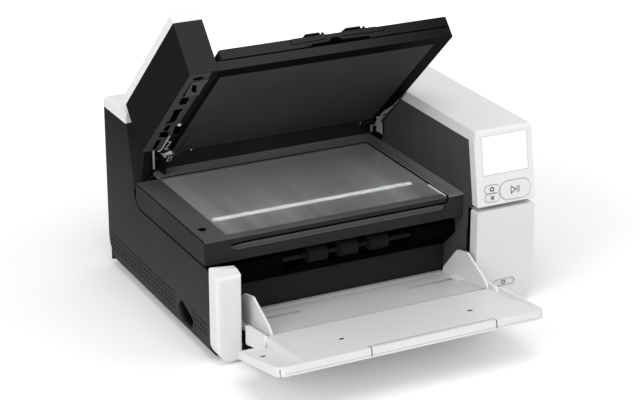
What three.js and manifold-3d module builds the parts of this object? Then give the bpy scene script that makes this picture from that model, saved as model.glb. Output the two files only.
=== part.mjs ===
// Desktop document scanner: a flatbed under a hinged cover, a touch-screen column and a front input tray.
// Frame while building: X to the right from the left side face, Y to the rear from the side panels' front
// edge, Z up from the table. The last group puts the model's origin under the middle of its box.
// Lengths are millimetres, angles are degrees until they are used.
import * as THREE from "three";
import { mergeVertices } from "three/addons/utils/BufferGeometryUtils.js";
import Module from "manifold-3d";

const wasm = await Module();
wasm.setup();

// Whole machine
const bodyWidth = 456;
const bodyTopZ = 243.5;
const bodyRearY = 341.7;
const faceY = -23.6; // front face of the white post and column
const baseBottomZ = 3;
const wall = 2.5;
const clearance = 0.3;
const overrun = 4;
const curveSteps = 2; // per quarter or half turn of a small radius
const roundSteps = 10; // per quarter turn of a large radius, or per half turn of a bar

// Side panels
const sideThickness = 2.4;
const sideBottomZ = 15.5;
const sideTopZ = 122.2;
const sideRearRadius = 28;
const towerTopZ = 228.3;
const towerFrontTopY = 260;
const towerFrontFootY = 240.6;
const ventHole = 4;
const ventPitchY = 8.2;
const ventPitchZ = 6.9;
const rearVentStartY = 112;
const rearVentColumns = 27;
const rearVentRows = 4;
const backVentColumns = 15; // vents across the back
const ventBottomZ = 25;
const frontVentStartY = 10;
const frontVentColumns = 6;
const pocketFrontY = 54;
const pocketRearY = 102.6;
const pocketBottomZ = 18.5;
const pocketTopZ = 47.9;
const pocketSlope = 13;
const pocketRadius = 7;
const pocketDepth = 22;

// Base tub and feet
const tubEdgeRadius = 12;
const tubWallTopZ = 110;
const footRadius = 9;
const footInset = 34;
const footRearInset = 26;
const footHeight = 2.7;
const footTaper = 1;

// White post at the left front
const postWidth = 33.3;
const postBackTopZ = 126;
const postFrontTopZ = 118.5;
const postRightTopZ = 115;
const postBottomZ = 3;
const postBottomRadius = 24;
const postChamfer = 5;
const bossRadius = 7;
const bossLength = 3.4;
const bossZ = 52;
const bossY = -10;

// Right column
const columnWidth = 86.3;
const columnInset = 2.8; // from the right side face
const columnRightX = bodyWidth - columnInset;
const columnLeftX = columnRightX - columnWidth;
const columnLean = 9.4; // degrees from upright
const columnLeanStartZ = 144;
const columnBodyRadius = 28;
const panelBottomZ = 3;
const lowerPanelTopZ = 138.5;
const bezelBottomZ = 144.5;
const bezelTopZ = 240.5;
const frontSkin = 3;
const returnDepth = 13;
const bezelEdgeRadius = 5;
const coverSideDrop = 13;
const coverThickness = 3;
const coverLean = 3.3;
const coverSeamDepth = 9; // from the face's top edge back to the top cover
const coverEdgeRadius = 6;

// Screen and buttons, on the leaning face
const screenMargin = 10.4; // from the column's left edge
const screenWidth = 68;
const screenLeftX = columnLeftX + screenMargin;
const screenRightX = screenLeftX + screenWidth;
const screenBottomZ = 185.3;
const screenTopZ = 236.2;
const screenThickness = 2.4;
const screenProud = 0.6;
const screenRadius = 1.5;
const startInset = 57.1; // from the column's left edge to the key's centre
const startX = columnLeftX + startInset;
const startZ = 161.8;
const startWidth = 46;
const startHeight = 25;
const keyInset = 22.1;
const keyX = columnLeftX + keyInset;
const keyWidth = 21.6;
const keyHeight = 10.6;
const homeZ = 167.2;
const cancelZ = 155.8;
const keyRadius = 4.6;
const keyProud = 1;
const keyGap = 0.5;
const keyTravel = 1.2;
const powerInset = 42.8;
const powerX = columnLeftX + powerInset;
const powerZ = 34;
const powerWidth = 32;
const powerHeight = 8.5;
const powerRecess = 2;

// Rear housing, tower and paper exit
const housingFrontY = 271;
const housingWall = 3;
const exitSlotBottomZ = 190;
const exitSlotTopZ = 212;
const exitSlotLeftX = 60;
const exitSlotMargin = 20.9; // from the column
const exitSlotRightX = columnLeftX - exitSlotMargin;
const capEdgeRadius = 6;
const capFrontY = 262;
const exitRollerRadius = 8;
const exitRollerY = 290;
const exitRollerZ = 196;
const shaftRadius = 3;
const shaftFit = 0.05;
const rearPanelThickness = 2.5;
const inletInset = 96; // from the right side face
const inletX = bodyWidth - inletInset;
const inletZ = 52;
const inletWidth = 28;
const pinSpacing = 7; // from pin to pin
const inletHeight = 20;
const inletDepth = 16;
const pinSize = 2.2;
const portSpacing = 42; // from the inlet
const portX = inletX - portSpacing;
const portWidth = 12.4;
const portHeight = 11;
const portDepth = 12;

// Feed module behind the input opening
const moduleLeftX = 36;
const moduleFrontY = 60;
const moduleRearY = 262;
const moduleBottomZ = 24;
const moduleStepZ = 66;
const throatFrontY = 32;
const throatStepZ = 92;
const throatTopZ = 109;
const rollerRadius = 10;
const rollerY = 36;
const rollerZ = 100;
const rollerPitch = 44;
const rollerLength = 26;
const rollerCount = 3;
const pocketWidth = 184; // of the rollers' pocket

// Flatbed unit: it swings up about the centre of the curved seam
const podGap = 0.4; // to the column
const podRightX = columnLeftX - podGap;
const feedInset = 158.5; // from the flatbed's right side to the feed rollers' middle
const feedCentreX = podRightX - feedInset;
const podFrontY = 12.5;
const podRearY = 268;
const podBottomZ = 122.5;
const podTopZ = 154.7;
const podPivotY = 218;
const podPivotZ = 145;
const podSideRadius = 22.5;
const podCutInX = 9;
const podCutOutX = 43;
const podCutY = 235;
const podWall = 3;
const podFloor = 3;
const podTopThickness = 3;
const podPinRadius = 4;
const podPinLength = 6;
const grooveTopZ = 144.5;
const grooveBottomZ = 137;
const grooveTipX = 33;
const grooveTipZ = 142.3;
const grooveTipLength = 14;
const grooveEndLength = 9;
const seamTurnRadius = 5.5; // where the band's seam turns into the groove
const grooveDepth = 5;
const glassLeftX = 34;
const glassMargin = 24.3; // from the flatbed's right side
const glassRightX = podRightX - glassMargin;
const glassFrontY = 22;
const glassRearY = 230.7;
const glassSink = 0.8;
const seamGap = 0.7;
const seamLeftX = glassRightX + seamGap / 2; // seam between the glass's frame and the outer band
const seamRightX = seamLeftX + seamGap;
const seamRearY = glassRearY + seamGap / 2;
const lockHoleX = 14.4;
const lockHoleY = 51.3;
const lockHoleRadius = 6;
const lockHoleDepth = 1.6;

// Scan carriage, rod, belt
const carriageY = 88;
const carriageDepth = 34;
const carriageBottomZ = 133;
const carriageTopZ = 148;
const carriageEndGap = 5;
const lightWidth = 7;
const lightHeight = 3;
const sensorWidth = 4.2;
const rodX = 66;
const rodZ = 139;
const rodRadius = 4;
const beltX = 52;
const beltWidth = 6;
const beltThickness = 1.2;
const pulleyRadius = 7;
const pulleyInsetY = 20;

// Lid and its left arm, in the closed pose
const lidOpen = 42.8;
const lidBottomZ = 157.9;
const lidHingeY = 267.2;
const lidHingeZ = 172;
const armRightX = 38.5;
const armLength = 228;
const armHingeGap = 62.9; // from the arm's rear end to the hinge line
const lidFrontY = lidHingeY - armHingeGap - armLength;
const armHeight = 70.6;
const armCoverHeight = 14.9;
const armWall = 2.5;
const lidGap = 1.6; // to the column
const lidRightX = columnLeftX - lidGap;
const lidOverhang = 21; // past the arm's rear end
const lidLength = armLength + lidOverhang;
const lidThickness = 27;
const lidSeamHeight = 12.4;
const lidSeamGap = 0.9;
const lidUpperLeftX = 47;
const lidWall = 2.5;
const railDepth = 4;
const backLeftX = 46;
const backMargin = 20.3; // from the lid's right edge
const backRightX = lidRightX - backMargin;
const backFront = 20;
const backThickness = 3;
const hingePinRadius = 2.2;
const knuckleRadius = 3.4;
const leafWidth = 12;
const leftLeafWidth = 14;
const leafStrip = 3; // metal left beside the leaf's slot
const leafSlotLength = 14;
const leftLeafSlotLength = 58;
const leafThickness = 2;
const leafFront = 175;
const bracketThickness = 2.4;
const bracketFrontY = 232;
const leftBracketFrontY = 242;
const bracketBottomZ = 156.4;
const bracketTopZ = 186;
const bracketGap = 1.2;
const cutoutShort = 9;
const cutoutLongStart = 29;
const cutoutLong = 34;
const cutoutRearPlaces = [100, 133, 166]; // the short ones near the hinge, from the arm's front
const stopLength = 32;

// Output stops on the lid's front edge
const stopLeftX = 142;
const stopRightX = 212;
const stopWidth = 50;
const stopRise = 5;
const stopDepth = 9;
const stopTabWidth = 17;
const stopRim = 4;

// Input tray, in its own flat pose: Y from its hinge to the rear, Z up from the bed plane
const trayTilt = 10.1;
const trayHingeY = -79;
const trayHingeZ = 47.6;
const trayLeftX = 1.2;
const trayGap = 2.4; // to the column
const trayRightX = columnLeftX - trayGap;
const trayDepth = 117; // from the hinge to the front edge
const trayBedRise = 6.5;
const trayThickness = 12;
const trayCornerRadius = 12;
const traySkin = 3;
const railLeftX = 35.8;
const railWidth = 4;
const railHeight = 26;
const extensionLeftX = 123;
const extensionMargin = 70.1; // from the tray's right edge
const extensionRightX = trayRightX - extensionMargin;
const extensionFront = 8; // depth of its front bar
const extensionFrontGap = 0.9; // behind the bar
const extensionRearGap = 25; // from its rear edge to the hinge line
const extensionDepth = trayDepth - extensionRearGap;
const extensionThickness = 4;
const runnerWidth = 8;
const lipHeight = 2.4; // of the thin lip under the front edge
const lipGroove = 0.9;
const plateFrontY = -61;
const plateRearY = 56;
const plateFrontZ = 50.8;
const plateThickness = 4;
const bedSlope = 0.178; // rise for each millimetre to the front
const bedRear = 12; // from the hinge line to the bed's rear edge
const guideThickness = 3;
const guideLeftX = 50;
const guideSideGap = 1.6;
const guideTravel = 70;
const frameFrontY = -64;
const frameDepth = 9;
const wingRear = -1;
const wingDrop = 4;
const wingRim = 6;
const wingRecess = 1;
const railFront = 101;
const railRear = 14;
const railTopRear = 13;
const lugRadius = 5;
const dimpleRadius = 5;
const cheekFront = 7;
const cheekRearY = -27.4;
const cheekBottomZ = 26.4;
const cheekTopZ = 52.8;
const cheekRise = 12;
const slotY = 2;
const slotWidth = 8;
const guideToeY = -70;
const guideHeelY = 44;
const guidePeakRearY = 8;
const guidePeakFrontY = -18;
const guidePeakZ = 84;
const guideShoulderY = -60;
const guideShoulderZ = 64;
const guideFoot = 12;

// Colours: hexadecimal paint values
const white = 0xeeeeec;
const bedWhite = 0xe2e2e0;
const black = 0x232323;
const softBlack = 0x303030;
const grey = 0x8c8c8c;
const metal = 0xb8b8b8;
const glassTint = 0x6a706c;
const rubberGrey = 0x4a4a4a;

const degrees = THREE.MathUtils.degToRad;

// Solids from three.js geometry
function solid(geometry) {
  geometry.deleteAttribute("normal");
  geometry.deleteAttribute("uv");
  const merged = mergeVertices(geometry, 1e-4);
  const triVerts = new Uint32Array(merged.index.array);
  const vertProperties = merged.attributes.position.array;
  return new wasm.Manifold(new wasm.Mesh({ numProp: 3, vertProperties, triVerts }));
}

function union(pieces) {
  return pieces.reduce((whole, piece) => whole.add(piece));
}

function cut(whole, cutters) {
  return cutters.reduce((rest, cutter) => rest.subtract(cutter), whole);
}

// A box from its low and high X, Y and Z
function box(x, y, z) {
  const size = [x[1] - x[0], y[1] - y[0], z[1] - z[0]];
  const shape = new THREE.BoxGeometry(...size);
  shape.translate((x[0] + x[1]) / 2, (y[0] + y[1]) / 2, (z[0] + z[1]) / 2);
  return solid(shape);
}

// A flat outline from corners, each [across, up] or [across, up, radius]
function outline(corners) {
  const shape = new THREE.Shape();
  const count = corners.length;
  corners.forEach(([px, py, radius = 0], i) => {
    const corner = new THREE.Vector2(px, py);
    const before = new THREE.Vector2(...corners[(i + count - 1) % count].slice(0, 2));
    const after = new THREE.Vector2(...corners[(i + 1) % count].slice(0, 2));
    const toBefore = before.clone().sub(corner).normalize();
    const toAfter = after.clone().sub(corner).normalize();
    const half = Math.acos(THREE.MathUtils.clamp(toBefore.dot(toAfter), -1, 1)) / 2;
    const reach = radius ? radius / Math.tan(half) : 0;
    const start = corner.clone().addScaledVector(toBefore, reach);
    if (i === 0) shape.moveTo(start.x, start.y);
    else shape.lineTo(start.x, start.y);
    if (!radius) return;
    const middle = toBefore.clone().add(toAfter).normalize();
    const centre = corner.clone().addScaledVector(middle, radius / Math.sin(half));
    const end = corner.clone().addScaledVector(toAfter, reach);
    const from = Math.atan2(start.y - centre.y, start.x - centre.x);
    const to = Math.atan2(end.y - centre.y, end.x - centre.x);
    const clockwise = toBefore.cross(toAfter) > 0;
    shape.absarc(centre.x, centre.y, radius, from, to, clockwise);
  });
  shape.closePath();
  return shape;
}

function rectangle(x, y, radius = 0) {
  return outline([
    [x[0], y[0], radius],
    [x[1], y[0], radius],
    [x[1], y[1], radius],
    [x[0], y[1], radius],
  ]);
}

// An outline pushed along one axis. The outline's plane is (Y, Z), (X, Z) or (X, Y).
function extrude(shape, axis, from, to, steps = curveSteps) {
  const geometry = new THREE.ExtrudeGeometry(shape, {
    depth: to - from,
    bevelEnabled: false,
    curveSegments: steps,
  });
  const frames = {
    x: [[0, 1, 0], [0, 0, 1], [1, 0, 0]],
    y: [[1, 0, 0], [0, 0, 1], [0, -1, 0]],
    z: [[1, 0, 0], [0, 1, 0], [0, 0, 1]],
  };
  const basis = frames[axis].map((vector) => new THREE.Vector3(...vector));
  geometry.applyMatrix4(new THREE.Matrix4().makeBasis(...basis));
  const start = new THREE.Vector3();
  start[axis] = axis === "y" ? to : from;
  geometry.translate(start.x, start.y, start.z);
  return solid(geometry);
}

// A round bar along one axis. The centre is given as the two other coordinates in order.
function bar(axis, centre, radius, from, to, steps = roundSteps) {
  const shape = new THREE.Shape();
  shape.absarc(centre[0], centre[1], radius, 0, 2 * Math.PI, false);
  return extrude(shape, axis, from, to, steps);
}

function geometryOf(body) {
  const data = body.getMesh();
  const geometry = new THREE.BufferGeometry();
  geometry.setAttribute("position", new THREE.BufferAttribute(data.vertProperties, 3));
  geometry.setIndex(new THREE.BufferAttribute(data.triVerts, 1));
  return geometry;
}

// A copy of a solid under a matrix. A mirroring matrix turns the faces round, so they are turned back.
function moved(body, matrix) {
  const geometry = geometryOf(body).applyMatrix4(matrix);
  if (matrix.determinant() < 0) {
    const order = geometry.index.array;
    for (let i = 0; i < order.length; i += 3) [order[i], order[i + 1]] = [order[i + 1], order[i]];
  }
  return solid(geometry);
}

const shifted = (body, x, y, z) => moved(body, new THREE.Matrix4().makeTranslation(x, y, z));
const mirroredX = (body, total) => moved(body, new THREE.Matrix4().makeTranslation(total, 0, 0)
  .multiply(new THREE.Matrix4().makeScale(-1, 1, 1)));

const group = new THREE.Group();
const machine = new THREE.Group();
group.add(machine);

// A named mesh of one solid, with its own material
function piece(parent, name, body, color, roughness = 0.5, metalness = 0) {
  const geometry = geometryOf(body);
  geometry.computeVertexNormals();
  const material = new THREE.MeshStandardMaterial({ color, roughness, metalness });
  const mesh = new THREE.Mesh(geometry, material);
  mesh.name = name;
  parent.add(mesh);
  return mesh;
}

// Base: side panels, tub and feet
const inletSpan = [inletX - inletWidth / 2, inletX + inletWidth / 2];
const inletRise = [inletZ - inletHeight / 2, inletZ + inletHeight / 2];
const portSpan = [portX - portWidth / 2, portX + portWidth / 2];
const portRise = [inletZ - portHeight / 2, inletZ + portHeight / 2];
const grow = (span, by) => [span[0] - by, span[1] + by];

const sideRightX = bodyWidth - sideThickness;
const tubLeftX = sideThickness + clearance;
const tubRightX = bodyWidth - tubLeftX;

function sideShape() {
  const shape = new THREE.Shape();
  const turnY = bodyRearY - sideRearRadius;
  const turnZ = sideBottomZ + sideRearRadius;
  shape.moveTo(0, sideBottomZ);
  shape.lineTo(turnY, sideBottomZ);
  shape.absarc(turnY, turnZ, sideRearRadius, -Math.PI / 2, 0, false);
  shape.lineTo(bodyRearY, towerTopZ);
  shape.lineTo(towerFrontTopY, towerTopZ);
  shape.lineTo(towerFrontFootY, podPivotZ);
  shape.absarc(podPivotY, podPivotZ, towerFrontFootY - podPivotY, 0, -Math.PI / 2, true);
  shape.lineTo(0, podPivotZ - (towerFrontFootY - podPivotY));
  shape.closePath();
  return shape;
}

// Square vent holes in rows through a side panel
function vents(x, startY, columns, startZ, rows) {
  const holes = [];
  for (let column = 0; column < columns; column += 1) {
    for (let row = 0; row < rows; row += 1) {
      const y = startY + column * ventPitchY;
      const z = startZ + row * ventPitchZ;
      holes.push(box(x, [y, y + ventHole], [z, z + ventHole]));
    }
  }
  return holes;
}

// Upright slots through the other side panel
function ventSlots(x) {
  const height = (rearVentRows - 1) * ventPitchZ + ventHole;
  return Array.from({ length: rearVentColumns }, (_, column) => {
    const y = rearVentStartY + column * ventPitchY;
    return box(x, [y, y + ventHole], [ventBottomZ, ventBottomZ + height]);
  });
}

function pocketShape(margin = 0) {
  return outline([
    [pocketFrontY - margin, pocketBottomZ - margin, pocketRadius],
    [pocketRearY - pocketSlope + margin, pocketBottomZ - margin, pocketRadius],
    [pocketRearY + margin, (pocketBottomZ + pocketTopZ) / 2, pocketRadius],
    [pocketRearY - pocketSlope + margin, pocketTopZ + margin, pocketRadius],
    [pocketFrontY - margin, pocketTopZ - pocketSlope + margin, pocketRadius],
  ]);
}

function sidePanel(name, x) {
  const through = [x[0] - overrun, x[1] + overrun];
  const grids = name === "left_side_panel" ? [
    ...vents(through, rearVentStartY, rearVentColumns, ventBottomZ, rearVentRows),
    ...vents(through, frontVentStartY, frontVentColumns, ventBottomZ + ventPitchZ / 2, rearVentRows - 1),
  ] : ventSlots(through);
  const cutters = [...grids, extrude(pocketShape(), "x", ...through)];
  let panel = extrude(sideShape(), "x", ...x, roundSteps);
  if (name === "right_side_panel") {
    panel = panel.add(extrude(rectangle([0, bodyRearY], [sideTopZ, towerTopZ]), "x", ...x));
  }
  piece(machine, name, cut(panel, cutters), black, 0.55);
}

sidePanel("left_side_panel", [0, sideThickness]);
sidePanel("right_side_panel", [sideRightX, bodyWidth]);

function baseTub() {
  const outer = rectangle([tubLeftX, tubRightX], [baseBottomZ, tubWallTopZ]);
  const rearY = bodyRearY - rearPanelThickness - clearance;
  const frontY = clearance;
  let tub = extrude(outer, "y", frontY, rearY);
  tub = tub.subtract(box(
    [tubLeftX + wall, tubRightX - wall],
    [frontY + wall, rearY - wall],
    [baseBottomZ + wall, tubWallTopZ + overrun],
  ));
  // the front wall stays low under the input opening
  tub = tub.subtract(box(
    [tubLeftX + wall, columnLeftX],
    [frontY - overrun, frontY + wall + overrun],
    [sideBottomZ, tubWallTopZ + overrun],
  ));
  // rolled lower edges at both sides
  const corner = new THREE.Shape();
  corner.moveTo(0, 0);
  corner.lineTo(tubEdgeRadius, 0);
  corner.absarc(tubEdgeRadius, tubEdgeRadius, tubEdgeRadius, -Math.PI / 2, -Math.PI, true);
  corner.closePath();
  const edge = extrude(corner, "y", frontY - overrun, rearY + overrun);
  const left = shifted(edge, tubLeftX, 0, baseBottomZ);
  const right = mirroredX(left, bodyWidth);
  // hand grips open through the side walls
  const grip = extrude(pocketShape(), "x", -overrun, bodyWidth + overrun);
  // the rear wall opens round the inlet and the data port
  const connectors = [inletSpan, portSpan].map((span) => box(
    grow(span, wall),
    [rearY - wall - overrun, rearY + overrun],
    grow(inletRise, wall),
  ));
  piece(machine, "base_tub", cut(tub, [left, right, grip, ...connectors]), softBlack, 0.6);
}
baseTub();

// Cupped recess behind each grip opening
function gripCup(name, side) {
  const inner = tubLeftX + wall + clearance;
  const shape = extrude(pocketShape(wall), "x", inner, inner + pocketDepth);
  const hollow = extrude(pocketShape(), "x", inner - overrun, inner + pocketDepth - wall);
  const cup = shape.subtract(hollow);
  const placed = side === "left" ? cup : mirroredX(cup, bodyWidth);
  piece(machine, name, placed, softBlack, 0.6);
}

function foot(name, x, y) {
  const profile = [
    new THREE.Vector2(0, 0),
    new THREE.Vector2(footRadius - footTaper, 0),
    new THREE.Vector2(footRadius, footHeight),
    new THREE.Vector2(0, footHeight),
  ];
  const geometry = new THREE.LatheGeometry(profile, roundSteps);
  geometry.rotateX(Math.PI / 2);
  geometry.translate(x, y, 0);
  piece(machine, name, solid(geometry), rubberGrey, 0.9);
}
const footRightX = bodyWidth - footInset;
const footRearY = bodyRearY - footRearInset;
foot("foot_front_left", footInset, footRearInset);
foot("foot_front_right", footRightX, footRearInset);
foot("foot_rear_left", footInset, footRearY);
foot("foot_rear_right", footRightX, footRearY);

gripCup("grip_cup_left", "left");
gripCup("grip_cup_right", "right");

// White post at the left front: its top slopes down to the front and to the right
function frontPost() {
  const drop = postFrontTopZ - postRightTopZ;
  const face = outline([
    [0, postBottomZ, postBottomRadius],
    [postWidth, postBottomZ],
    [postWidth, postBackTopZ - drop],
    [0, postBackTopZ, postChamfer / 2],
  ]);
  const side = outline([
    [faceY, postBottomZ, postChamfer],
    [-clearance, postBottomZ],
    [-clearance, postBackTopZ],
    [faceY, postFrontTopZ, postChamfer],
  ]);
  const plan = outline([
    [0, faceY, postChamfer],
    [postWidth, faceY, postChamfer / 2],
    [postWidth, -clearance],
    [0, -clearance],
  ]);
  const front = extrude(face, "y", faceY, -clearance, roundSteps);
  const sideCut = extrude(side, "x", -overrun, postWidth + overrun);
  const planCut = extrude(plan, "z", 0, postBackTopZ + overrun);
  piece(machine, "front_left_post", front.intersect(sideCut).intersect(planCut), white, 0.35);
  const bossLeftX = postWidth + clearance;
  const boss = bar("x", [bossY, bossZ], bossRadius, bossLeftX, bossLeftX + bossLength);
  piece(machine, "post_boss", boss, grey, 0.5);
}
frontPost();

// Right column: white skins in front and on top, black wall on the inside
const leanRun = Math.tan(degrees(columnLean)); // how far the face goes back for each millimetre up
const leanY = (z) => faceY + Math.max(0, z - columnLeanStartZ) * leanRun;
const bezelTopY = leanY(bezelTopZ);

function lowerFrontPanel() {
  const face = outline([
    [columnLeftX, panelBottomZ, bezelEdgeRadius],
    [columnRightX, panelBottomZ, columnBodyRadius],
    [columnRightX, lowerPanelTopZ, bezelEdgeRadius / 2],
    [columnLeftX, lowerPanelTopZ, bezelEdgeRadius / 2],
  ]);
  const inner = outline([
    [columnLeftX + frontSkin, panelBottomZ + frontSkin],
    [columnRightX - frontSkin, panelBottomZ + frontSkin, columnBodyRadius - frontSkin],
    [columnRightX - frontSkin, lowerPanelTopZ - frontSkin],
    [columnLeftX + frontSkin, lowerPanelTopZ - frontSkin],
  ]);
  const skin = extrude(face, "y", faceY, -clearance, roundSteps);
  const hollow = extrude(inner, "y", faceY + frontSkin, overrun, roundSteps);
  const hole = powerOutline(0);
  const opening = extrude(hole, "y", faceY - overrun, faceY + frontSkin + overrun);
  piece(machine, "lower_front_panel", cut(skin, [hollow, opening]), white, 0.35);
}

function powerOutline(inset) {
  return rectangle(
    [powerX - powerWidth / 2 + inset, powerX + powerWidth / 2 - inset],
    [powerZ - powerHeight / 2 + inset, powerZ + powerHeight / 2 - inset],
    powerHeight / 2 - inset - clearance,
  );
}
lowerFrontPanel();

function powerButton() {
  const cap = extrude(powerOutline(keyGap), "y", faceY + powerRecess / 2, faceY + frontSkin + keyTravel);
  const flangeShape = rectangle(
    [powerX - powerWidth / 2 - wall, powerX + powerWidth / 2 + wall],
    [powerZ - powerHeight / 2 - wall, powerZ + powerHeight / 2 + wall],
  );
  const flangeY = faceY + frontSkin + clearance;
  const flange = extrude(flangeShape, "y", flangeY, flangeY + keyTravel);
  return piece(machine, "power_button", cap.add(flange), bedWhite, 0.4);
}
powerButton();

// The leaning face is drawn upright in (X, distance up the face) and then laid on its lean
const upFace = (z) => (z - columnLeanStartZ) / Math.cos(degrees(columnLean));

const coverBottomZ = bodyTopZ - coverSideDrop;
const leanMatrix = new THREE.Matrix4().makeTranslation(0, faceY, columnLeanStartZ)
  .multiply(new THREE.Matrix4().makeRotationX(-degrees(columnLean)));
const faceGroup = new THREE.Group();
faceGroup.position.set(0, faceY, columnLeanStartZ);
faceGroup.rotation.x = -degrees(columnLean);
machine.add(faceGroup);

function keyShape(x, z, width, height, radius, inset) {
  const half = [width / 2 - inset, height / 2 - inset];
  const up = upFace(z);
  return rectangle([x - half[0], x + half[0]], [up - half[1], up + half[1]], radius - inset);
}

const screenShape = (inset) => rectangle(
  [screenLeftX + inset, screenRightX - inset],
  [upFace(screenBottomZ) + inset, upFace(screenTopZ) - inset],
  screenRadius,
);
const startRadius = startHeight / 2 - keyGap;
const keys = [
  { name: "home_button", x: keyX, z: homeZ, width: keyWidth, height: keyHeight, radius: keyRadius },
  { name: "cancel_button", x: keyX, z: cancelZ, width: keyWidth, height: keyHeight, radius: keyRadius },
  { name: "start_button", x: startX, z: startZ, width: startWidth, height: startHeight, radius: startRadius },
];

function controlBezel() {
  const rearBottom = leanY(bezelBottomZ) + returnDepth;
  const rearTop = bezelTopY + coverSeamDepth;
  const outer = outline([
    [leanY(bezelBottomZ), bezelBottomZ, bezelEdgeRadius / 2],
    [rearBottom, bezelBottomZ],
    [leanY(coverBottomZ) + returnDepth, coverBottomZ - clearance],
    [rearTop, coverBottomZ - clearance],
    [rearTop, bodyTopZ],
    [bezelTopY, bodyTopZ, bezelEdgeRadius],
  ]);
  const inner = outline([
    [leanY(bezelBottomZ) + frontSkin, bezelBottomZ + frontSkin],
    [rearBottom + overrun, bezelBottomZ + frontSkin],
    [rearTop + overrun, bodyTopZ - frontSkin],
    [bezelTopY + frontSkin, bodyTopZ - frontSkin],
  ]);
  const face = outline([
    [columnLeftX, bezelBottomZ, bezelEdgeRadius / 2],
    [columnRightX, bezelBottomZ, bezelEdgeRadius / 2],
    [columnRightX, bodyTopZ, bezelEdgeRadius],
    [columnLeftX + coverLean, bodyTopZ, bezelEdgeRadius / 2],
    [columnLeftX, bodyTopZ - coverSideDrop],
  ]);
  const skin = extrude(outer, "x", columnLeftX, columnRightX)
    .intersect(extrude(face, "y", faceY - overrun, bodyRearY));
  const hollow = extrude(inner, "x", columnLeftX + frontSkin, columnRightX - frontSkin);
  const through = keys.map((key) => extrude(
    keyShape(key.x, key.z, key.width, key.height, key.radius, 0),
    "y",
    -overrun,
    frontSkin + overrun,
  ));
  through.push(extrude(screenShape(-keyGap), "y", -overrun, frontSkin + overrun));
  const openings = through.map((cutter) => moved(cutter, leanMatrix));
  piece(machine, "control_bezel", cut(skin, [hollow, ...openings]), white, 0.35);
}
controlBezel();

function touchScreen() {
  const panel = extrude(screenShape(0), "y", -screenProud, screenThickness);
  const backing = extrude(screenShape(-wall), "y", frontSkin + clearance, frontSkin + screenThickness);
  const stem = extrude(screenShape(wall), "y", 0, frontSkin + screenThickness);
  piece(faceGroup, "touch_screen", union([panel, stem, backing]), bedWhite, 0.15);
}
touchScreen();

function faceButton(key) {
  const cap = extrude(
    keyShape(key.x, key.z, key.width, key.height, key.radius, keyGap),
    "y",
    -keyProud,
    frontSkin + clearance,
  );
  const rim = keyShape(key.x, key.z, key.width, key.height, key.radius, -clearance);
  const flange = extrude(rim, "y", frontSkin + clearance, frontSkin + clearance + keyTravel);
  piece(faceGroup, key.name, cap.add(flange), bedWhite, 0.4);
}
keys.forEach(faceButton);

// White cover over the column, open below
function columnTopCover() {
  const bottomZ = coverBottomZ;
  const outer = outline([
    [columnLeftX, bottomZ],
    [bodyWidth, bottomZ],
    [bodyWidth, bodyTopZ, coverEdgeRadius],
    [columnLeftX + coverLean, bodyTopZ, coverThickness / 2],
  ]);
  const inner = outline([
    [columnLeftX + coverThickness, bottomZ - overrun],
    [bodyWidth - coverThickness, bottomZ - overrun],
    [bodyWidth - coverThickness, bodyTopZ - coverThickness, coverThickness],
    [columnLeftX + coverLean + coverThickness, bodyTopZ - coverThickness],
  ]);
  const frontY = bezelTopY + coverSeamDepth + clearance;
  const shell = extrude(outer, "y", frontY, bodyRearY);
  const hollow = extrude(inner, "y", frontY - overrun, bodyRearY - coverThickness);
  piece(machine, "column_top_cover", shell.subtract(hollow), white, 0.35);
}
columnTopCover();

function columnInnerWall() {
  const gap = returnDepth + clearance;
  const topZ = coverBottomZ - clearance;
  const frontY = wall + clearance * 2;
  const shape = outline([
    [frontY, baseBottomZ + wall + clearance],
    [housingFrontY - clearance, baseBottomZ + wall + clearance],
    [housingFrontY - clearance, topZ],
    [leanY(topZ) + gap, topZ],
    [leanY(bezelBottomZ) + gap, bezelBottomZ],
    [clearance, lowerPanelTopZ],
    [clearance, tubWallTopZ + clearance],
    [frontY, tubWallTopZ + clearance],
  ]);
  piece(machine, "column_inner_wall", extrude(shape, "x", columnLeftX, columnLeftX + wall), softBlack, 0.5);
}
columnInnerWall();

// Rear housing: the tower at the left, and the wall between tower and column with the paper exit in it
const housingRightX = columnLeftX - clearance;
const housingBottomZ = tubWallTopZ + clearance;
const housingLeftX = sideThickness + clearance;
const housingTopZ = towerTopZ - clearance;
const housingRearY = bodyRearY - rearPanelThickness - clearance;

function rearHousing() {
  const across = extrude(
    rectangle([housingFrontY, housingRearY], [housingBottomZ, housingTopZ]),
    "x",
    housingLeftX,
    housingRightX,
  );
  const towerSide = new THREE.Shape();
  towerSide.moveTo(podPivotY, housingBottomZ);
  towerSide.lineTo(housingRearY, housingBottomZ);
  towerSide.lineTo(housingRearY, housingTopZ);
  towerSide.lineTo(towerFrontTopY, housingTopZ);
  towerSide.lineTo(towerFrontFootY, podPivotZ);
  towerSide.absarc(podPivotY, podPivotZ, towerFrontFootY - podPivotY, 0, -Math.PI / 2, true);
  towerSide.closePath();
  const towerPlan = outline([
    [housingLeftX, podPivotY - towerFrontFootY],
    [podCutInX, podPivotY - towerFrontFootY],
    [podCutInX, towerFrontFootY],
    [podCutOutX, housingFrontY + clearance],
    [podCutOutX, housingRearY],
    [housingLeftX, housingRearY],
  ]);
  const tower = extrude(towerSide, "x", housingLeftX, podCutOutX, roundSteps)
    .intersect(extrude(towerPlan, "z", 0, housingTopZ + overrun));
  const hollow = box(
    [housingLeftX + housingWall, housingRightX - housingWall],
    [housingFrontY + housingWall, housingRearY + overrun],
    [housingBottomZ + housingWall, housingTopZ - housingWall],
  );
  const slot = extrude(
    rectangle([exitSlotLeftX, exitSlotRightX], [exitSlotBottomZ, exitSlotTopZ], housingWall),
    "y",
    housingFrontY - overrun,
    housingFrontY + housingWall + overrun,
  );
  piece(machine, "rear_housing", cut(across.add(tower), [hollow, slot]), softBlack, 0.5);
}
rearHousing();

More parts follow.
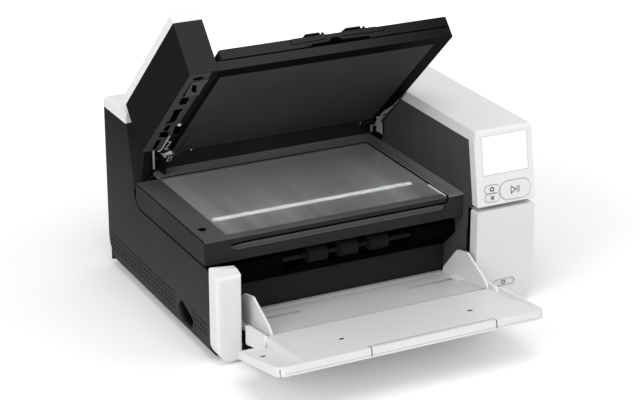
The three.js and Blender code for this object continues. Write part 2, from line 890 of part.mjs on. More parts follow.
// Drive roller behind the paper exit, held in the housing's end walls
function exitRoller() {
  const centre = [exitRollerY, exitRollerZ];
  const left = housingLeftX + housingWall + clearance;
  const right = housingRightX - housingWall - clearance;
  const shaft = bar("x", centre, shaftRadius, left, right, roundSteps);
  const rolls = [];
  for (let i = 0; i < rollerCount; i += 1) {
    const middle = feedCentreX + (i - (rollerCount - 1) / 2) * rollerPitch * 2;
    rolls.push(bar("x", centre, exitRollerRadius, middle - rollerLength / 2, middle + rollerLength / 2));
  }
  piece(machine, "exit_roller", union([shaft, ...rolls]), rubberGrey, 0.8);
}
exitRoller();

function rearTopCover() {
  const side = outline([
    [capFrontY, towerTopZ, coverThickness / 2],
    [bodyRearY, towerTopZ],
    [bodyRearY, bodyTopZ, capEdgeRadius],
    [capFrontY, bodyTopZ, coverThickness],
  ]);
  const ends = outline([
    [0, towerTopZ - overrun],
    [housingRightX, towerTopZ - overrun],
    [housingRightX, bodyTopZ],
    [0, bodyTopZ, capEdgeRadius],
  ]);
  const shell = extrude(side, "x", 0, housingRightX).intersect(extrude(ends, "y", 0, bodyRearY));
  const hollow = box(
    [coverThickness, housingRightX - coverThickness],
    [capFrontY + coverThickness, bodyRearY - coverThickness],
    [towerTopZ - overrun, bodyTopZ - coverThickness],
  );
  piece(machine, "rear_top_cover", shell.subtract(hollow), white, 0.35);
}
rearTopCover();

function rearPanel() {
  const sheet = box(
    [tubLeftX, tubRightX],
    [bodyRearY - rearPanelThickness, bodyRearY],
    [baseBottomZ + wall, housingTopZ],
  );
  const holes = [
    box(grow(inletSpan, clearance), [housingRearY, bodyRearY + overrun], grow(inletRise, clearance)),
    box(grow(portSpan, clearance), [housingRearY, bodyRearY + overrun], grow(portRise, clearance)),
  ];
  for (let i = 0; i < backVentColumns; i += 1) {
    const x = footInset * 2 + i * ventPitchY * 2;
    holes.push(box([x, x + ventHole], [housingRearY, bodyRearY + overrun], inletRise));
  }
  piece(machine, "rear_panel", cut(sheet, holes), black, 0.55);
}
rearPanel();

// Power inlet with its three pins, and a square data port with its tongue
function powerInlet() {
  const back = bodyRearY - inletDepth;
  const body = box(inletSpan, [back, bodyRearY], inletRise);
  const socket = box(grow(inletSpan, -wall), [back + wall, bodyRearY + overrun], grow(inletRise, -wall));
  const pins = [-1, 0, 1].map((side) => {
    const x = inletX + side * pinSpacing;
    const z = inletZ + (side === 0 ? pinSize : -pinSize);
    return box([x - pinSize / 2, x + pinSize / 2], [back, bodyRearY - wall], [z - pinSize, z + pinSize]);
  });
  piece(machine, "power_inlet", union([body.subtract(socket), ...pins]), black, 0.5);
}
powerInlet();

function dataPort() {
  const back = bodyRearY - portDepth;
  const body = box(portSpan, [back, bodyRearY], portRise);
  const depth = [back + wall, bodyRearY + overrun];
  const socket = box(grow(portSpan, -wall / 2), depth, grow(portRise, -wall / 2));
  const tongue = box(
    grow(portSpan, -portWidth / 4),
    [back, bodyRearY - wall],
    grow(portRise, -portHeight / 2 + pinSize / 2),
  );
  piece(machine, "data_port", union([body.subtract(socket), tongue]), metal, 0.4, 0.8);
}
dataPort();

// Feed module behind the input opening, with the pick-up rollers at its throat
const moduleRightX = columnLeftX - clearance;

function feedModule() {
  const side = outline([
    [moduleFrontY, moduleBottomZ, wall],
    [moduleRearY, moduleBottomZ],
    [moduleRearY, throatTopZ],
    [throatFrontY, throatTopZ, wall],
    [throatFrontY, throatStepZ, wall],
    [moduleFrontY, moduleStepZ, wall],
  ]);
  const body = extrude(side, "x", moduleLeftX, moduleRightX);
  const pocketX = grow([feedCentreX, feedCentreX], pocketWidth / 2);
  const pocket = box(
    pocketX,
    [throatFrontY - overrun, rollerY + rollerRadius + wall],
    [throatStepZ - overrun * 2, throatTopZ + overrun],
  );
  const bearing = bar("x", [rollerY, rollerZ], shaftRadius + shaftFit, ...grow(pocketX, wall * 2));
  const rear = box(
    [moduleLeftX + wall, moduleRightX - wall],
    [moduleFrontY + wall * 2, moduleRearY + overrun],
    [moduleBottomZ - overrun, throatTopZ - wall * 2],
  );
  const legs = [moduleLeftX, moduleRightX - wall].map((x) => box(
    [x, x + wall],
    [moduleFrontY + wall, moduleRearY],
    [baseBottomZ + wall + clearance, moduleBottomZ + wall],
  ));
  const module = union([cut(body, [pocket, bearing, rear]), ...legs]);
  piece(machine, "feed_module", module, softBlack, 0.5);
  const shaft = bar("x", [rollerY, rollerZ], shaftRadius, ...grow(pocketX, wall));
  const rolls = [];
  for (let i = 0; i < rollerCount; i += 1) {
    const middle = feedCentreX + (i - (rollerCount - 1) / 2) * rollerPitch;
    rolls.push(bar("x", [rollerY, rollerZ], rollerRadius, ...grow([middle, middle], rollerLength / 2)));
  }
  piece(machine, "feed_roller", union([shaft, ...rolls]), rubberGrey, 0.8);
}
feedModule();

// Flatbed unit. Its meshes are placed from its own pivot, and its group carries them.
const pod = new THREE.Group();
pod.position.set(0, podPivotY, podPivotZ);
machine.add(pod);
const podFrame = new THREE.Group();
podFrame.position.set(0, -podPivotY, -podPivotZ);
pod.add(podFrame);

const glassEdge = { x: [glassLeftX, glassRightX], y: [glassFrontY, glassRearY] };
const ringOut = 2; // how far the ledge under the glass reaches past its edge
const podDeckZ = podTopZ - podTopThickness;
const bandBottomZ = podDeckZ + clearance;

function podPlan(inset) {
  return outline([
    [inset, podFrontY + inset],
    [podRightX - inset, podFrontY + inset],
    [podRightX - inset, podRearY - inset],
    [podCutOutX + inset / 2, podRearY - inset],
    [podCutInX + inset / 2, podCutY - inset / 2],
    [inset, podCutY - inset / 2],
  ]);
}

// The side under the tower's curved seam: a quarter circle about the pivot ends it
function podSide() {
  const shape = new THREE.Shape();
  shape.moveTo(podFrontY, podBottomZ);
  shape.lineTo(podPivotY, podBottomZ);
  const endAngle = Math.asin((podTopZ - podPivotZ) / podSideRadius);
  shape.absarc(podPivotY, podPivotZ, podSideRadius, -Math.PI / 2, endAngle, false);
  shape.lineTo(podFrontY, podTopZ);
  shape.closePath();
  return shape;
}

// Short pins at both sides on the unit's own axis
function podPins() {
  const centre = [podPivotY, podPivotZ];
  return [
    bar("x", centre, podPinRadius, podWall / 2, podWall + podPinLength),
    bar("x", centre, podPinRadius, podRightX - podWall - podPinLength, podRightX - podWall / 2),
  ];
}

// The finger groove: pointed at the left, and at the right it runs up into the seam of the outer band
function grooveShape() {
  const turnX = seamLeftX - seamTurnRadius;
  const turnZ = grooveTopZ + seamTurnRadius;
  const bendX = grooveTipX + grooveTipLength;
  const shape = new THREE.Shape();
  shape.moveTo(grooveTipX, grooveTipZ);
  shape.quadraticCurveTo(grooveTipX + grooveTipLength / 2, grooveTopZ, bendX, grooveTopZ);
  shape.lineTo(turnX, grooveTopZ);
  shape.absarc(turnX, turnZ, seamTurnRadius, -Math.PI / 2, 0, false);
  shape.lineTo(seamLeftX, podTopZ + overrun);
  shape.lineTo(seamRightX, podTopZ + overrun);
  shape.absarc(turnX, turnZ, seamTurnRadius + seamGap, 0, -Math.PI / 3, true);
  shape.lineTo(seamLeftX - grooveEndLength, grooveBottomZ);
  shape.lineTo(bendX, grooveBottomZ);
  shape.quadraticCurveTo(grooveTipX + grooveTipLength / 2, grooveBottomZ, grooveTipX, grooveTipZ);
  shape.closePath();
  return shape;
}

function podShell() {
  const plan = extrude(podPlan(0), "z", podBottomZ, podDeckZ);
  const narrow = box([podCutInX, podRightX + overrun], [0, bodyRearY], [0, bodyTopZ]);
  const limit = extrude(podSide(), "x", -overrun, podCutInX, roundSteps).add(narrow);
  const hollow = extrude(podPlan(podWall), "z", podBottomZ + podFloor, podTopZ + overrun);
  const grip = extrude(grooveShape(), "y", podFrontY - overrun, podFrontY + grooveDepth, roundSteps / 2);
  const lip = box(
    [podWall, podRightX - podWall],
    [podFrontY + podWall, podFrontY + grooveDepth + podWall],
    [podBottomZ + podFloor - clearance, podDeckZ],
  );
  const ring = box(grow(glassEdge.x, ringOut), grow(glassEdge.y, ringOut), [podBottomZ, podDeckZ])
    .subtract(box(grow(glassEdge.x, -podWall), grow(glassEdge.y, -podWall), [0, bodyTopZ]));
  const ribs = lip.add(ring).intersect(plan);
  const pins = podPins();
  const walls = plan.intersect(limit).subtract(hollow);
  const shell = union([walls, ribs, ...pins]).subtract(grip);
  piece(podFrame, "pod_shell", shell, softBlack, 0.45);
}
podShell();

// Fixed frame at the left of and in front of the glass, with the round lock hole
function glassFrame() {
  const plan = extrude(podPlan(0), "z", bandBottomZ, podTopZ);
  const limit = extrude(podSide(), "x", -overrun, podCutInX + overrun, roundSteps)
    .add(box([podCutInX, podRightX], [0, bodyRearY], [0, bodyTopZ]));
  const keep = box(
    [-overrun, seamLeftX],
    [0, seamRearY],
    [bandBottomZ, podTopZ],
  );
  const window = box(
    [glassLeftX, glassRightX + overrun],
    [glassFrontY, bodyRearY],
    [0, bodyTopZ],
  );
  const leftRear = box([-overrun, glassLeftX], [glassRearY, podCutY], [bandBottomZ, podTopZ]);
  const hole = bar("z", [lockHoleX, lockHoleY], lockHoleRadius, podTopZ - lockHoleDepth, podTopZ + overrun);
  const frame = plan.intersect(limit).intersect(keep.add(leftRear)).subtract(window);
  piece(podFrame, "glass_frame", frame.subtract(hole), black, 0.35);
}
glassFrame();

// Outer band at the right and the rear
function podBand() {
  const plan = extrude(podPlan(0), "z", bandBottomZ, podTopZ);
  const keep = box([seamRightX, podRightX], [0, podRearY], [0, bodyTopZ])
    .add(box([glassLeftX + clearance, podRightX], [seamRearY + seamGap, podRearY], [0, bodyTopZ]));
  piece(podFrame, "pod_band", plan.intersect(keep), grey, 0.45);
}
podBand();

function platenGlass() {
  const topZ = podTopZ - glassSink;
  const plate = box(
    [glassLeftX + clearance, glassRightX],
    [glassFrontY + clearance, glassRearY],
    [bandBottomZ, topZ],
  );
  piece(podFrame, "platen_glass", plate, glassTint, 0.1);
}
platenGlass();

// Scan carriage on its rod, with the belt that pulls it
const ringFrontY = glassFrontY + podWall;
const ringRearY = glassRearY - podWall;
const carriage = new THREE.Group();
podFrame.add(carriage);

function scanCarriage() {
  const x = [glassLeftX + podWall + carriageEndGap, glassRightX - podWall - carriageEndGap];
  const y = [carriageY - carriageDepth / 2, carriageY + carriageDepth / 2];
  const side = outline([
    [y[0], carriageBottomZ],
    [y[1], carriageBottomZ],
    [y[1], carriageTopZ - lightWidth / 2],
    [y[1] - lightWidth / 2, carriageTopZ],
    [y[0] + lightWidth / 2, carriageTopZ],
    [y[0], carriageTopZ - lightWidth / 2],
  ]);
  const body = extrude(side, "x", ...x);
  const bore = bar("y", [rodX, rodZ], rodRadius + shaftFit, 0, bodyRearY);
  const trough = box(
    grow(x, -wall),
    [carriageY - lightWidth / 2 - clearance, carriageY + lightWidth / 2 + clearance],
    [carriageTopZ - lightHeight, carriageTopZ + overrun],
  );
  const sensorTrough = box(
    grow(x, -wall),
    [carriageY + lightWidth, carriageY + lightWidth + sensorWidth],
    [carriageTopZ - lightHeight, carriageTopZ + overrun],
  );
  const clampX = beltX + pulleyRadius + beltThickness + clearance;
  const clamp = box(
    [clampX, clampX + wall],
    [carriageY - lightWidth, carriageY + lightWidth],
    [beltBottomZ, carriageBottomZ + wall],
  );
  piece(carriage, "scan_carriage", cut(body, [bore, trough, sensorTrough]).add(clamp), softBlack, 0.5);
  const light = box(
    grow(x, -wall - clearance),
    [carriageY - lightWidth / 2, carriageY + lightWidth / 2],
    [carriageTopZ - lightHeight + clearance, carriageTopZ],
  );
  piece(carriage, "light_bar", light, white, 0.3);
}

const beltBottomZ = podBottomZ + podFloor + clearance;
const beltTopZ = beltBottomZ + beltWidth;
const frontPulleyY = ringFrontY + pulleyInsetY;
const rearPulleyY = ringRearY - pulleyInsetY;

function beltLoop(radius) {
  const shape = new THREE.Shape();
  shape.absarc(beltX, frontPulleyY, radius, Math.PI, 2 * Math.PI, false);
  shape.absarc(beltX, rearPulleyY, radius, 0, Math.PI, false);
  shape.closePath();
  return shape;
}

function carriageDrive() {
  const rod = bar("y", [rodX, rodZ], rodRadius, ringFrontY + clearance, ringRearY - clearance);
  piece(podFrame, "guide_rod", rod, metal, 0.2, 0.9);
  const band = extrude(beltLoop(pulleyRadius + beltThickness), "z", beltBottomZ, beltTopZ, roundSteps / 2)
    .subtract(extrude(beltLoop(pulleyRadius + clearance), "z", 0, bodyTopZ, roundSteps / 2));
  piece(podFrame, "drive_belt", band, black, 0.9);
  piece(podFrame, "pulley_front", pulley(frontPulleyY), bedWhite, 0.4);
  piece(podFrame, "pulley_rear", pulley(rearPulleyY), bedWhite, 0.4);
}

function pulley(y) {
  const wheel = bar("z", [beltX, y], pulleyRadius, beltBottomZ, beltTopZ);
  return wheel.subtract(bar("z", [beltX, y], shaftRadius / 2, beltBottomZ - overrun, beltTopZ + overrun));
}
scanCarriage();
carriageDrive();

// Lid with its raised left arm, drawn closed and turned open about its hinge line
const lid = new THREE.Group();
lid.position.set(0, lidHingeY, lidHingeZ);
lid.rotation.x = -degrees(lidOpen);
machine.add(lid);
const lidFrame = new THREE.Group();
lidFrame.position.set(0, -lidHingeY, -lidHingeZ);
lid.add(lidFrame);

const lidRearY = lidFrontY + lidLength;
const armRearY = lidFrontY + armLength;
const armTopZ = lidBottomZ + armHeight;
const lidTopZ = lidBottomZ + lidThickness;
const lidPlateLeftX = armRightX + clearance;

// Arm at the left: open on top, with cut-outs through its underside
function armShell() {
  const side = outline([
    [lidFrontY, lidBottomZ, armWall],
    [armRearY, lidBottomZ, armWall],
    [armRearY, armTopZ],
    [lidFrontY, armTopZ],
  ]);
  const body = extrude(side, "x", 0, armRightX);
  const hollow = box(
    [armWall, armRightX - armWall],
    [lidFrontY + armWall, armRearY - armWall],
    [lidBottomZ + railDepth, armTopZ + overrun],
  );
  const places = armCutouts.map(([start, length]) => {
    const y = lidFrontY + start;
    const mouth = rectangle([cutoutLeftX, cutoutRightX], [y, y + length], cutoutRadius);
    return extrude(mouth, "z", lidBottomZ - overrun, lidBottomZ + railDepth + overrun);
  });
  piece(lidFrame, "arm_shell", cut(body, [hollow, ...places]), softBlack, 0.45);
}

// Cut-outs along the underside: distance from the front face, and length
const cutoutShares = { left: 0.22, right: 0.58 };
const cutoutLeftX = armRightX * cutoutShares.left;
const cutoutRightX = armRightX * cutoutShares.right;
const cutoutRadius = cutoutShort / 2 - clearance;
const armCutouts = [
  [cutoutShort, cutoutShort],
  [cutoutLongStart, cutoutLong],
  [cutoutLongStart + cutoutLong + cutoutShort, cutoutShort],
  ...cutoutRearPlaces.map((place) => [place, cutoutShort]),
];
armShell();

function armTopCover() {
  const topZ = armTopZ + armCoverHeight;
  const side = outline([
    [lidFrontY, armTopZ + clearance],
    [armRearY, armTopZ + clearance],
    [armRearY, topZ, coverThickness],
    [lidFrontY, topZ, coverThickness],
  ]);
  const ends = outline([
    [0, 0],
    [armRightX, 0],
    [armRightX, topZ, coverThickness / 2],
    [0, topZ, capEdgeRadius],
  ]);
  const body = extrude(side, "x", 0, armRightX).intersect(extrude(ends, "y", faceY - overrun, bodyRearY));
  const hollow = box(
    [coverThickness, armRightX - coverThickness],
    [lidFrontY + coverThickness, armRearY - coverThickness],
    [armTopZ - overrun, topZ - coverThickness],
  );
  piece(lidFrame, "arm_top_cover", body.subtract(hollow), white, 0.35);
}
armTopCover();

// Lower frame of the thin part: a recess on its underside holds the backing plate
function lidLowerFrame() {
  const topZ = lidBottomZ + lidSeamHeight;
  const plan = outline([
    [lidPlateLeftX, lidFrontY],
    [lidRightX, lidFrontY, coverEdgeRadius],
    [lidRightX, lidRearY, coverEdgeRadius],
    [lidPlateLeftX, lidRearY],
  ]);
  const body = extrude(plan, "z", lidBottomZ, topZ);
  const recess = box(
    [backLeftX, backRightX],
    [lidFrontY + backFront, lidRearY - lidWall],
    [lidBottomZ - overrun, lidBottomZ + backThickness + clearance],
  );
  const hollow = box(
    [lidPlateLeftX + lidWall, lidRightX - lidWall],
    [lidFrontY + lidWall, lidRearY - lidWall],
    [lidBottomZ + backThickness + clearance + lidWall, topZ + overrun],
  );
  piece(lidFrame, "lid_frame", cut(body, [recess, hollow]), softBlack, 0.45);
  const plate = box(
    [backLeftX + clearance, backRightX - clearance],
    [lidFrontY + backFront + clearance, lidRearY - lidWall - clearance],
    [lidBottomZ, lidBottomZ + backThickness],
  );
  piece(lidFrame, "backing_plate", plate, softBlack, 0.6);
}
lidLowerFrame();

// Upper panel: its top is the output tray
function lidUpperPanel() {
  const bottomZ = lidBottomZ + lidSeamHeight + lidSeamGap;
  const plan = outline([
    [lidUpperLeftX, lidFrontY],
    [lidRightX, lidFrontY, coverEdgeRadius],
    [lidRightX, lidRearY, coverEdgeRadius],
    [lidUpperLeftX, lidRearY],
  ]);
  const body = extrude(plan, "z", bottomZ, lidTopZ);
  const hollow = box(
    grow([lidUpperLeftX, lidRightX], -lidWall),
    grow([lidFrontY, lidRearY], -lidWall),
    [bottomZ - overrun, lidTopZ - lidWall],
  );
  const notch = box(
    [stopLeftX + stopTabWidth, stopRightX + stopWidth - stopTabWidth],
    [lidFrontY - overrun, lidFrontY + lidWall / 2],
    [bottomZ - overrun, bottomZ + lidWall],
  );
  const ribY = lidFrontY + lidLength / 2;
  const rib = box(
    grow([lidUpperLeftX, lidRightX], -lidWall),
    [ribY, ribY + lidWall],
    [lidBottomZ + lidSeamHeight + clearance, lidTopZ - lidWall / 2],
  );
  piece(lidFrame, "lid_upper_panel", cut(body, [hollow, notch]).add(rib), softBlack, 0.4);
}
lidUpperPanel();

// Flip-up stops on the front edge of the output tray
function outputStop(name, leftX, mirror) {
  const hingeZ = lidTopZ + clearance + stopRise / 2;
  const holder = new THREE.Group();
  lidFrame.add(holder);
  const side = outline([
    [lidFrontY + clearance, lidTopZ + clearance, stopRise / 2 - clearance],
    [lidFrontY + stopLength, lidTopZ + clearance],
    [lidFrontY + stopLength, hingeZ, clearance],
    [lidFrontY + clearance, lidTopZ + clearance + stopRise, stopRise / 2 - clearance],
  ]);
  const body = extrude(side, "x", leftX, leftX + stopWidth);
  const tab = mirror ? [leftX + stopWidth - stopTabWidth, leftX + stopWidth + overrun]
    : [leftX - overrun, leftX + stopTabWidth];
  const cutter = box(
    tab,
    [lidFrontY + stopDepth, lidFrontY + stopLength + overrun],
    [lidTopZ, lidTopZ + stopRise * 2],
  );
  const pocket = box(
    mirror ? [leftX + stopRim, tab[0] - stopRim] : [tab[1] + stopRim, leftX + stopWidth - stopRim],
    [lidFrontY + stopDepth, lidFrontY + stopLength - stopRim],
    [hingeZ - clearance, lidTopZ + stopRise * 2],
  );
  piece(holder, name, cut(body, [cutter, pocket]), black, 0.4);
}
outputStop("output_stop_left", stopLeftX, false);
outputStop("output_stop_right", stopRightX, true);

// Hinges: a metal leaf under each rear corner of the lid, turning on a pin in a bracket on the housing
function hingeLeaf(name, x, width, slotLength) {
  const bottomZ = lidBottomZ - leafThickness - clearance;
  const bendY = lidRearY + leafThickness;
  const side = outline([
    [lidFrontY + leafFront, bottomZ],
    [bendY, bottomZ],
    [lidHingeY - knuckleRadius / 2, lidHingeZ - knuckleRadius],
    [lidHingeY - knuckleRadius / 2, lidHingeZ + knuckleRadius / 2],
    [lidHingeY - knuckleRadius, lidHingeZ + knuckleRadius / 2],
    [bendY - leafThickness / 2, bottomZ + leafThickness],
    [lidFrontY + leafFront, bottomZ + leafThickness],
  ]);
  const arm = extrude(side, "x", x, x + width);
  const slotRear = lidRearY - leafStrip;
  const slot = extrude(
    rectangle([x + leafStrip, x + width - leafStrip], [slotRear - slotLength, slotRear], leafStrip / 2),
    "z",
    bottomZ - overrun,
    bottomZ + leafThickness + overrun,
  );
  const knuckle = bar("x", [lidHingeY, lidHingeZ], knuckleRadius, x, x + width);
  const bore = bar("x", [lidHingeY, lidHingeZ], hingePinRadius + shaftFit, x - overrun, x + width + overrun);
  piece(lidFrame, name, cut(arm, [slot]).add(knuckle).subtract(bore), metal, 0.3, 0.8);
}

function hingeBracket(name, x, frontY) {
  const side = outline([
    [frontY, bracketBottomZ, hingePinRadius],
    [housingFrontY - clearance, bracketBottomZ],
    [housingFrontY - clearance, bracketTopZ],
    [frontY + bracketTopZ - lidHingeZ, bracketTopZ, hingePinRadius],
    [frontY, lidHingeZ, hingePinRadius],
  ]);
  const plate = extrude(side, "x", x, x + bracketThickness);
  const boreX = grow([x, x + bracketThickness], overrun);
  const bore = bar("x", [lidHingeY, lidHingeZ], hingePinRadius + shaftFit, ...boreX);
  piece(machine, name, plate.subtract(bore), metal, 0.3, 0.8);
}
const rightLeafX = lidRightX - bracketGap - bracketThickness - leafWidth;
const rightBracketX = rightLeafX + leafWidth + clearance * 2;
const leftBracketX = podCutOutX + clearance * 2;
const leftLeafX = leftBracketX + bracketThickness + clearance * 2;
hingeLeaf("hinge_leaf_right", rightLeafX, leafWidth, leafSlotLength);
hingeLeaf("hinge_leaf_left", leftLeafX, leftLeafWidth, leftLeafSlotLength);
hingeBracket("hinge_bracket_right", rightBracketX, bracketFrontY);
hingeBracket("hinge_bracket_left", leftBracketX, leftBracketFrontY);

function hingePin(name, fromX, toX) {
  piece(machine, name, bar("x", [lidHingeY, lidHingeZ], hingePinRadius, fromX, toX), metal, 0.25, 0.9);
}
hingePin("hinge_pin_right", rightLeafX, rightBracketX + bracketThickness);
hingePin("hinge_pin_left", leftBracketX, leftLeafX + leftLeafWidth);

// Input tray in its flat pose about its hinge, then tilted up to the front
const tray = new THREE.Group();
tray.position.set(0, trayHingeY, trayHingeZ);
tray.rotation.x = -degrees(trayTilt);
machine.add(tray);

const cheekInnerX = railLeftX + railWidth;
const cheekRightX = trayRightX - railWidth;
const bedBottom = trayBedRise - trayThickness;
const guideRightX = cheekRightX - guideThickness - guideSideGap;
const drawerTop = trayBedRise - traySkin - clearance;
const drawerBottom = drawerTop - extensionThickness;
const frameBottomZ = sideBottomZ + clearance;

function trayBody() {
  const bedX = [cheekInnerX + clearance, cheekRightX - clearance];
  const rear = box(bedX, [-bedRear * 2, bedRear], [trayBedRise - traySkin, trayBedRise]);
  const plan = outline([
    [railLeftX, -trayDepth],
    [trayRightX, -trayDepth, trayCornerRadius],
    [trayRightX, -bedRear],
    [railLeftX, -bedRear],
  ]);
  const slab = extrude(plan, "z", bedBottom, trayBedRise);
  const pocketRear = -trayDepth + extensionDepth + clearance;
  const noseRear = -trayDepth + extensionFront;
  const nose = box(
    [extensionLeftX, extensionRightX],
    [-trayDepth - overrun, noseRear],
    [bedBottom - overrun, trayBedRise + overrun],
  );
  const pocket = box(
    [extensionLeftX, extensionRightX],
    [-trayDepth, pocketRear],
    [drawerBottom - clearance, drawerTop + clearance],
  );
  const under = [
    box([railLeftX + traySkin, extensionLeftX - traySkin], [-trayDepth + traySkin, -bedRear], [
      bedBottom - overrun,
      trayBedRise - traySkin,
    ]),
    box([extensionRightX + traySkin, trayRightX - traySkin], [-trayDepth + traySkin, -bedRear], [
      bedBottom - overrun,
      trayBedRise - traySkin,
    ]),
    box([extensionLeftX + runnerWidth, extensionRightX - runnerWidth], [-trayDepth, pocketRear], [
      bedBottom - overrun,
      drawerBottom,
    ]),
  ];
  // the wing at the left lies lower at the rear and meets the bed at the front
  const wingSide = outline([
    [-trayDepth, bedBottom],
    [wingRear, bedBottom - wingDrop],
    [wingRear, -clearance],
    [-trayDepth, trayBedRise],
  ]);
  const wingPlan = outline([
    [trayLeftX, -trayDepth, trayCornerRadius],
    [railLeftX + traySkin, -trayDepth],
    [railLeftX + traySkin, wingRear - railHeight],
    [railLeftX - clearance, wingRear - railHeight],
    [railLeftX - clearance, wingRear],
    [trayLeftX, wingRear, traySkin],
  ]);
  const wing = extrude(wingSide, "x", 0, railLeftX + traySkin)
    .intersect(extrude(wingPlan, "z", -bodyTopZ, bodyTopZ));
  const wingFloor = extrude(outline([
    [-trayDepth + wingRim, trayBedRise - wingRecess],
    [wingRear - wingRim, -clearance - wingRecess],
    [wingRear - wingRim, trayBedRise + overrun],
    [-trayDepth + wingRim, trayBedRise + overrun],
  ]), "x", trayLeftX + wingRim, railLeftX - clearance);
  const wingUnder = extrude(outline([
    [-trayDepth + traySkin, bedBottom - overrun * 2],
    [wingRear - traySkin, bedBottom - overrun * 2],
    [wingRear - traySkin, -traySkin - clearance],
    [-trayDepth + traySkin, trayBedRise - traySkin],
  ]), "x", trayLeftX + traySkin, railLeftX - traySkin);
  const rail = (x) => extrude(outline([
    [-railFront, trayBedRise - traySkin],
    [-railRear, trayBedRise - traySkin],
    [-railRear, railTopRear, traySkin],
    [-railFront, trayBedRise + clearance],
  ]), "x", x, x + railWidth);
  const lug = (x) => bar("x", [0, 0], lugRadius, x, x + railWidth)
    .add(box([x, x + railWidth], [-lugRadius, lugRadius], [0, trayBedRise - traySkin / 2]));
  const bore = bar("x", [0, 0], hingePinRadius + shaftFit, -overrun, bodyWidth);
  const bed = cut(slab, [nose, pocket, ...under]);
  const parts = [bed, rear, cut(wing, [wingUnder, wingFloor]), rail(railLeftX), rail(cheekRightX)];
  parts.push(lug(cheekInnerX + clearance), lug(cheekRightX - clearance - railWidth));
  const dimples = [extensionLeftX - dimpleRadius * 2, extensionRightX - dimpleRadius / 2].map(
    (x) => bar("z", [x, -trayDepth / 2], dimpleRadius, trayBedRise - clearance * 2, trayBedRise + overrun),
  );
  piece(tray, "input_tray", cut(union(parts), [bore, ...dimples, frontGroove()]), bedWhite, 0.35);
}

// Line under the front edge: it parts a thin lip from the face
function frontGroove() {
  return box(
    [-overrun, bodyWidth],
    [-trayDepth - overrun, -trayDepth + lipGroove],
    [bedBottom + lipHeight, bedBottom + lipHeight + lipGroove],
  );
}

// Sliding extension: a plate under the bed, with a front bar that closes the tray's edge
function trayExtension() {
  const x = grow([extensionLeftX, extensionRightX], -clearance);
  const barRear = -trayDepth + extensionFront - extensionFrontGap;
  const frontBar = box(x, [-trayDepth, barRear], [bedBottom, trayBedRise]);
  const plate = box(x, [-trayDepth + overrun, -trayDepth + extensionDepth], [drawerBottom, drawerTop]);
  piece(tray, "tray_extension", frontBar.add(plate).subtract(frontGroove()), bedWhite, 0.35);
}
trayBody();
trayExtension();

// Fixed frame under the elevator plate, with white cheeks that carry the tray's hinge
const plateBottomAt = (y) => plateFrontZ + (plateFrontY - y) * bedSlope - plateThickness;

function trayFrame() {
  const top = (y) => plateBottomAt(y) - clearance;
  const side = outline([
    [frameFrontY, top(frameFrontY) - frameDepth],
    [0, frameBottomZ],
    [plateRearY, frameBottomZ],
    [plateRearY, top(plateRearY)],
    [frameFrontY, top(frameFrontY)],
  ]);
  const inner = outline([
    [frameFrontY + wall, top(frameFrontY) - frameDepth - overrun],
    [0, frameBottomZ - overrun],
    [plateRearY - wall, frameBottomZ - overrun],
    [plateRearY - wall, top(plateRearY) - wall],
    [frameFrontY + wall, top(frameFrontY) - wall],
  ]);
  const x = [cheekInnerX + clearance, cheekRightX - clearance];
  const body = extrude(side, "x", ...x).subtract(extrude(inner, "x", x[0] + wall, x[1] - wall));
  const legZ = [baseBottomZ + wall + clearance, frameBottomZ + wall];
  const leg = box(x, [wall + clearance * 2, plateRearY], legZ)
    .subtract(box([x[0] + wall, x[1] - wall], [-overrun, plateRearY - wall], [0, frameBottomZ + wall * 2]));
  piece(machine, "tray_frame", body.add(leg), softBlack, 0.6);
}
trayFrame();

function trayCheek(name, x, pinX) {
  const side = outline([
    [trayHingeY - cheekFront, trayHingeZ - cheekFront, cheekFront / 2],
    [cheekRearY, cheekBottomZ, traySkin],
    [cheekRearY, cheekTopZ, traySkin],
    [trayHingeY, trayHingeZ + cheekRise],
    [trayHingeY - cheekFront, trayHingeZ + cheekFront, cheekFront / 2],
  ]);
  const plate = extrude(side, "x", x, x + railWidth);
  const pin = bar("x", [trayHingeY, trayHingeZ], hingePinRadius, ...pinX);
  piece(machine, name, plate.add(pin), bedWhite, 0.4);
}
trayCheek("tray_cheek_left", railLeftX, [railLeftX + railWidth / 2, cheekInnerX + railWidth]);
trayCheek("tray_cheek_right", cheekRightX, [cheekRightX - railWidth, cheekRightX + railWidth / 2]);

// Elevator plate with grip ridges, and the two side guides that slide on it
const elevator = new THREE.Group();
machine.add(elevator);
const plateTopAt = (y) => plateFrontZ + (plateFrontY - y) * bedSlope;

function elevatorPlate() {
  const shape = outline([
    [plateFrontY, plateTopAt(plateFrontY) - plateThickness],
    [plateRearY, plateTopAt(plateRearY) - plateThickness],
    [plateRearY, plateTopAt(plateRearY)],
    [plateFrontY, plateTopAt(plateFrontY)],
  ]);
  const x = [cheekInnerX + clearance * 2, cheekRightX - clearance * 2];
  let plate = extrude(shape, "x", ...x);
  const keys = [
    [guideLeftX + guideThickness, guideLeftX + guideThickness * 2 + guideTravel],
    [guideRightX - guideThickness - guideTravel, guideRightX],
  ];
  const slots = keys.map(
    (span) => box(grow(span, clearance * 2), [slotY, slotY + slotWidth], [0, bodyTopZ]),
  );
  plate = cut(plate, slots);
  piece(elevator, "elevator_plate", plate, grey, 0.6);
}

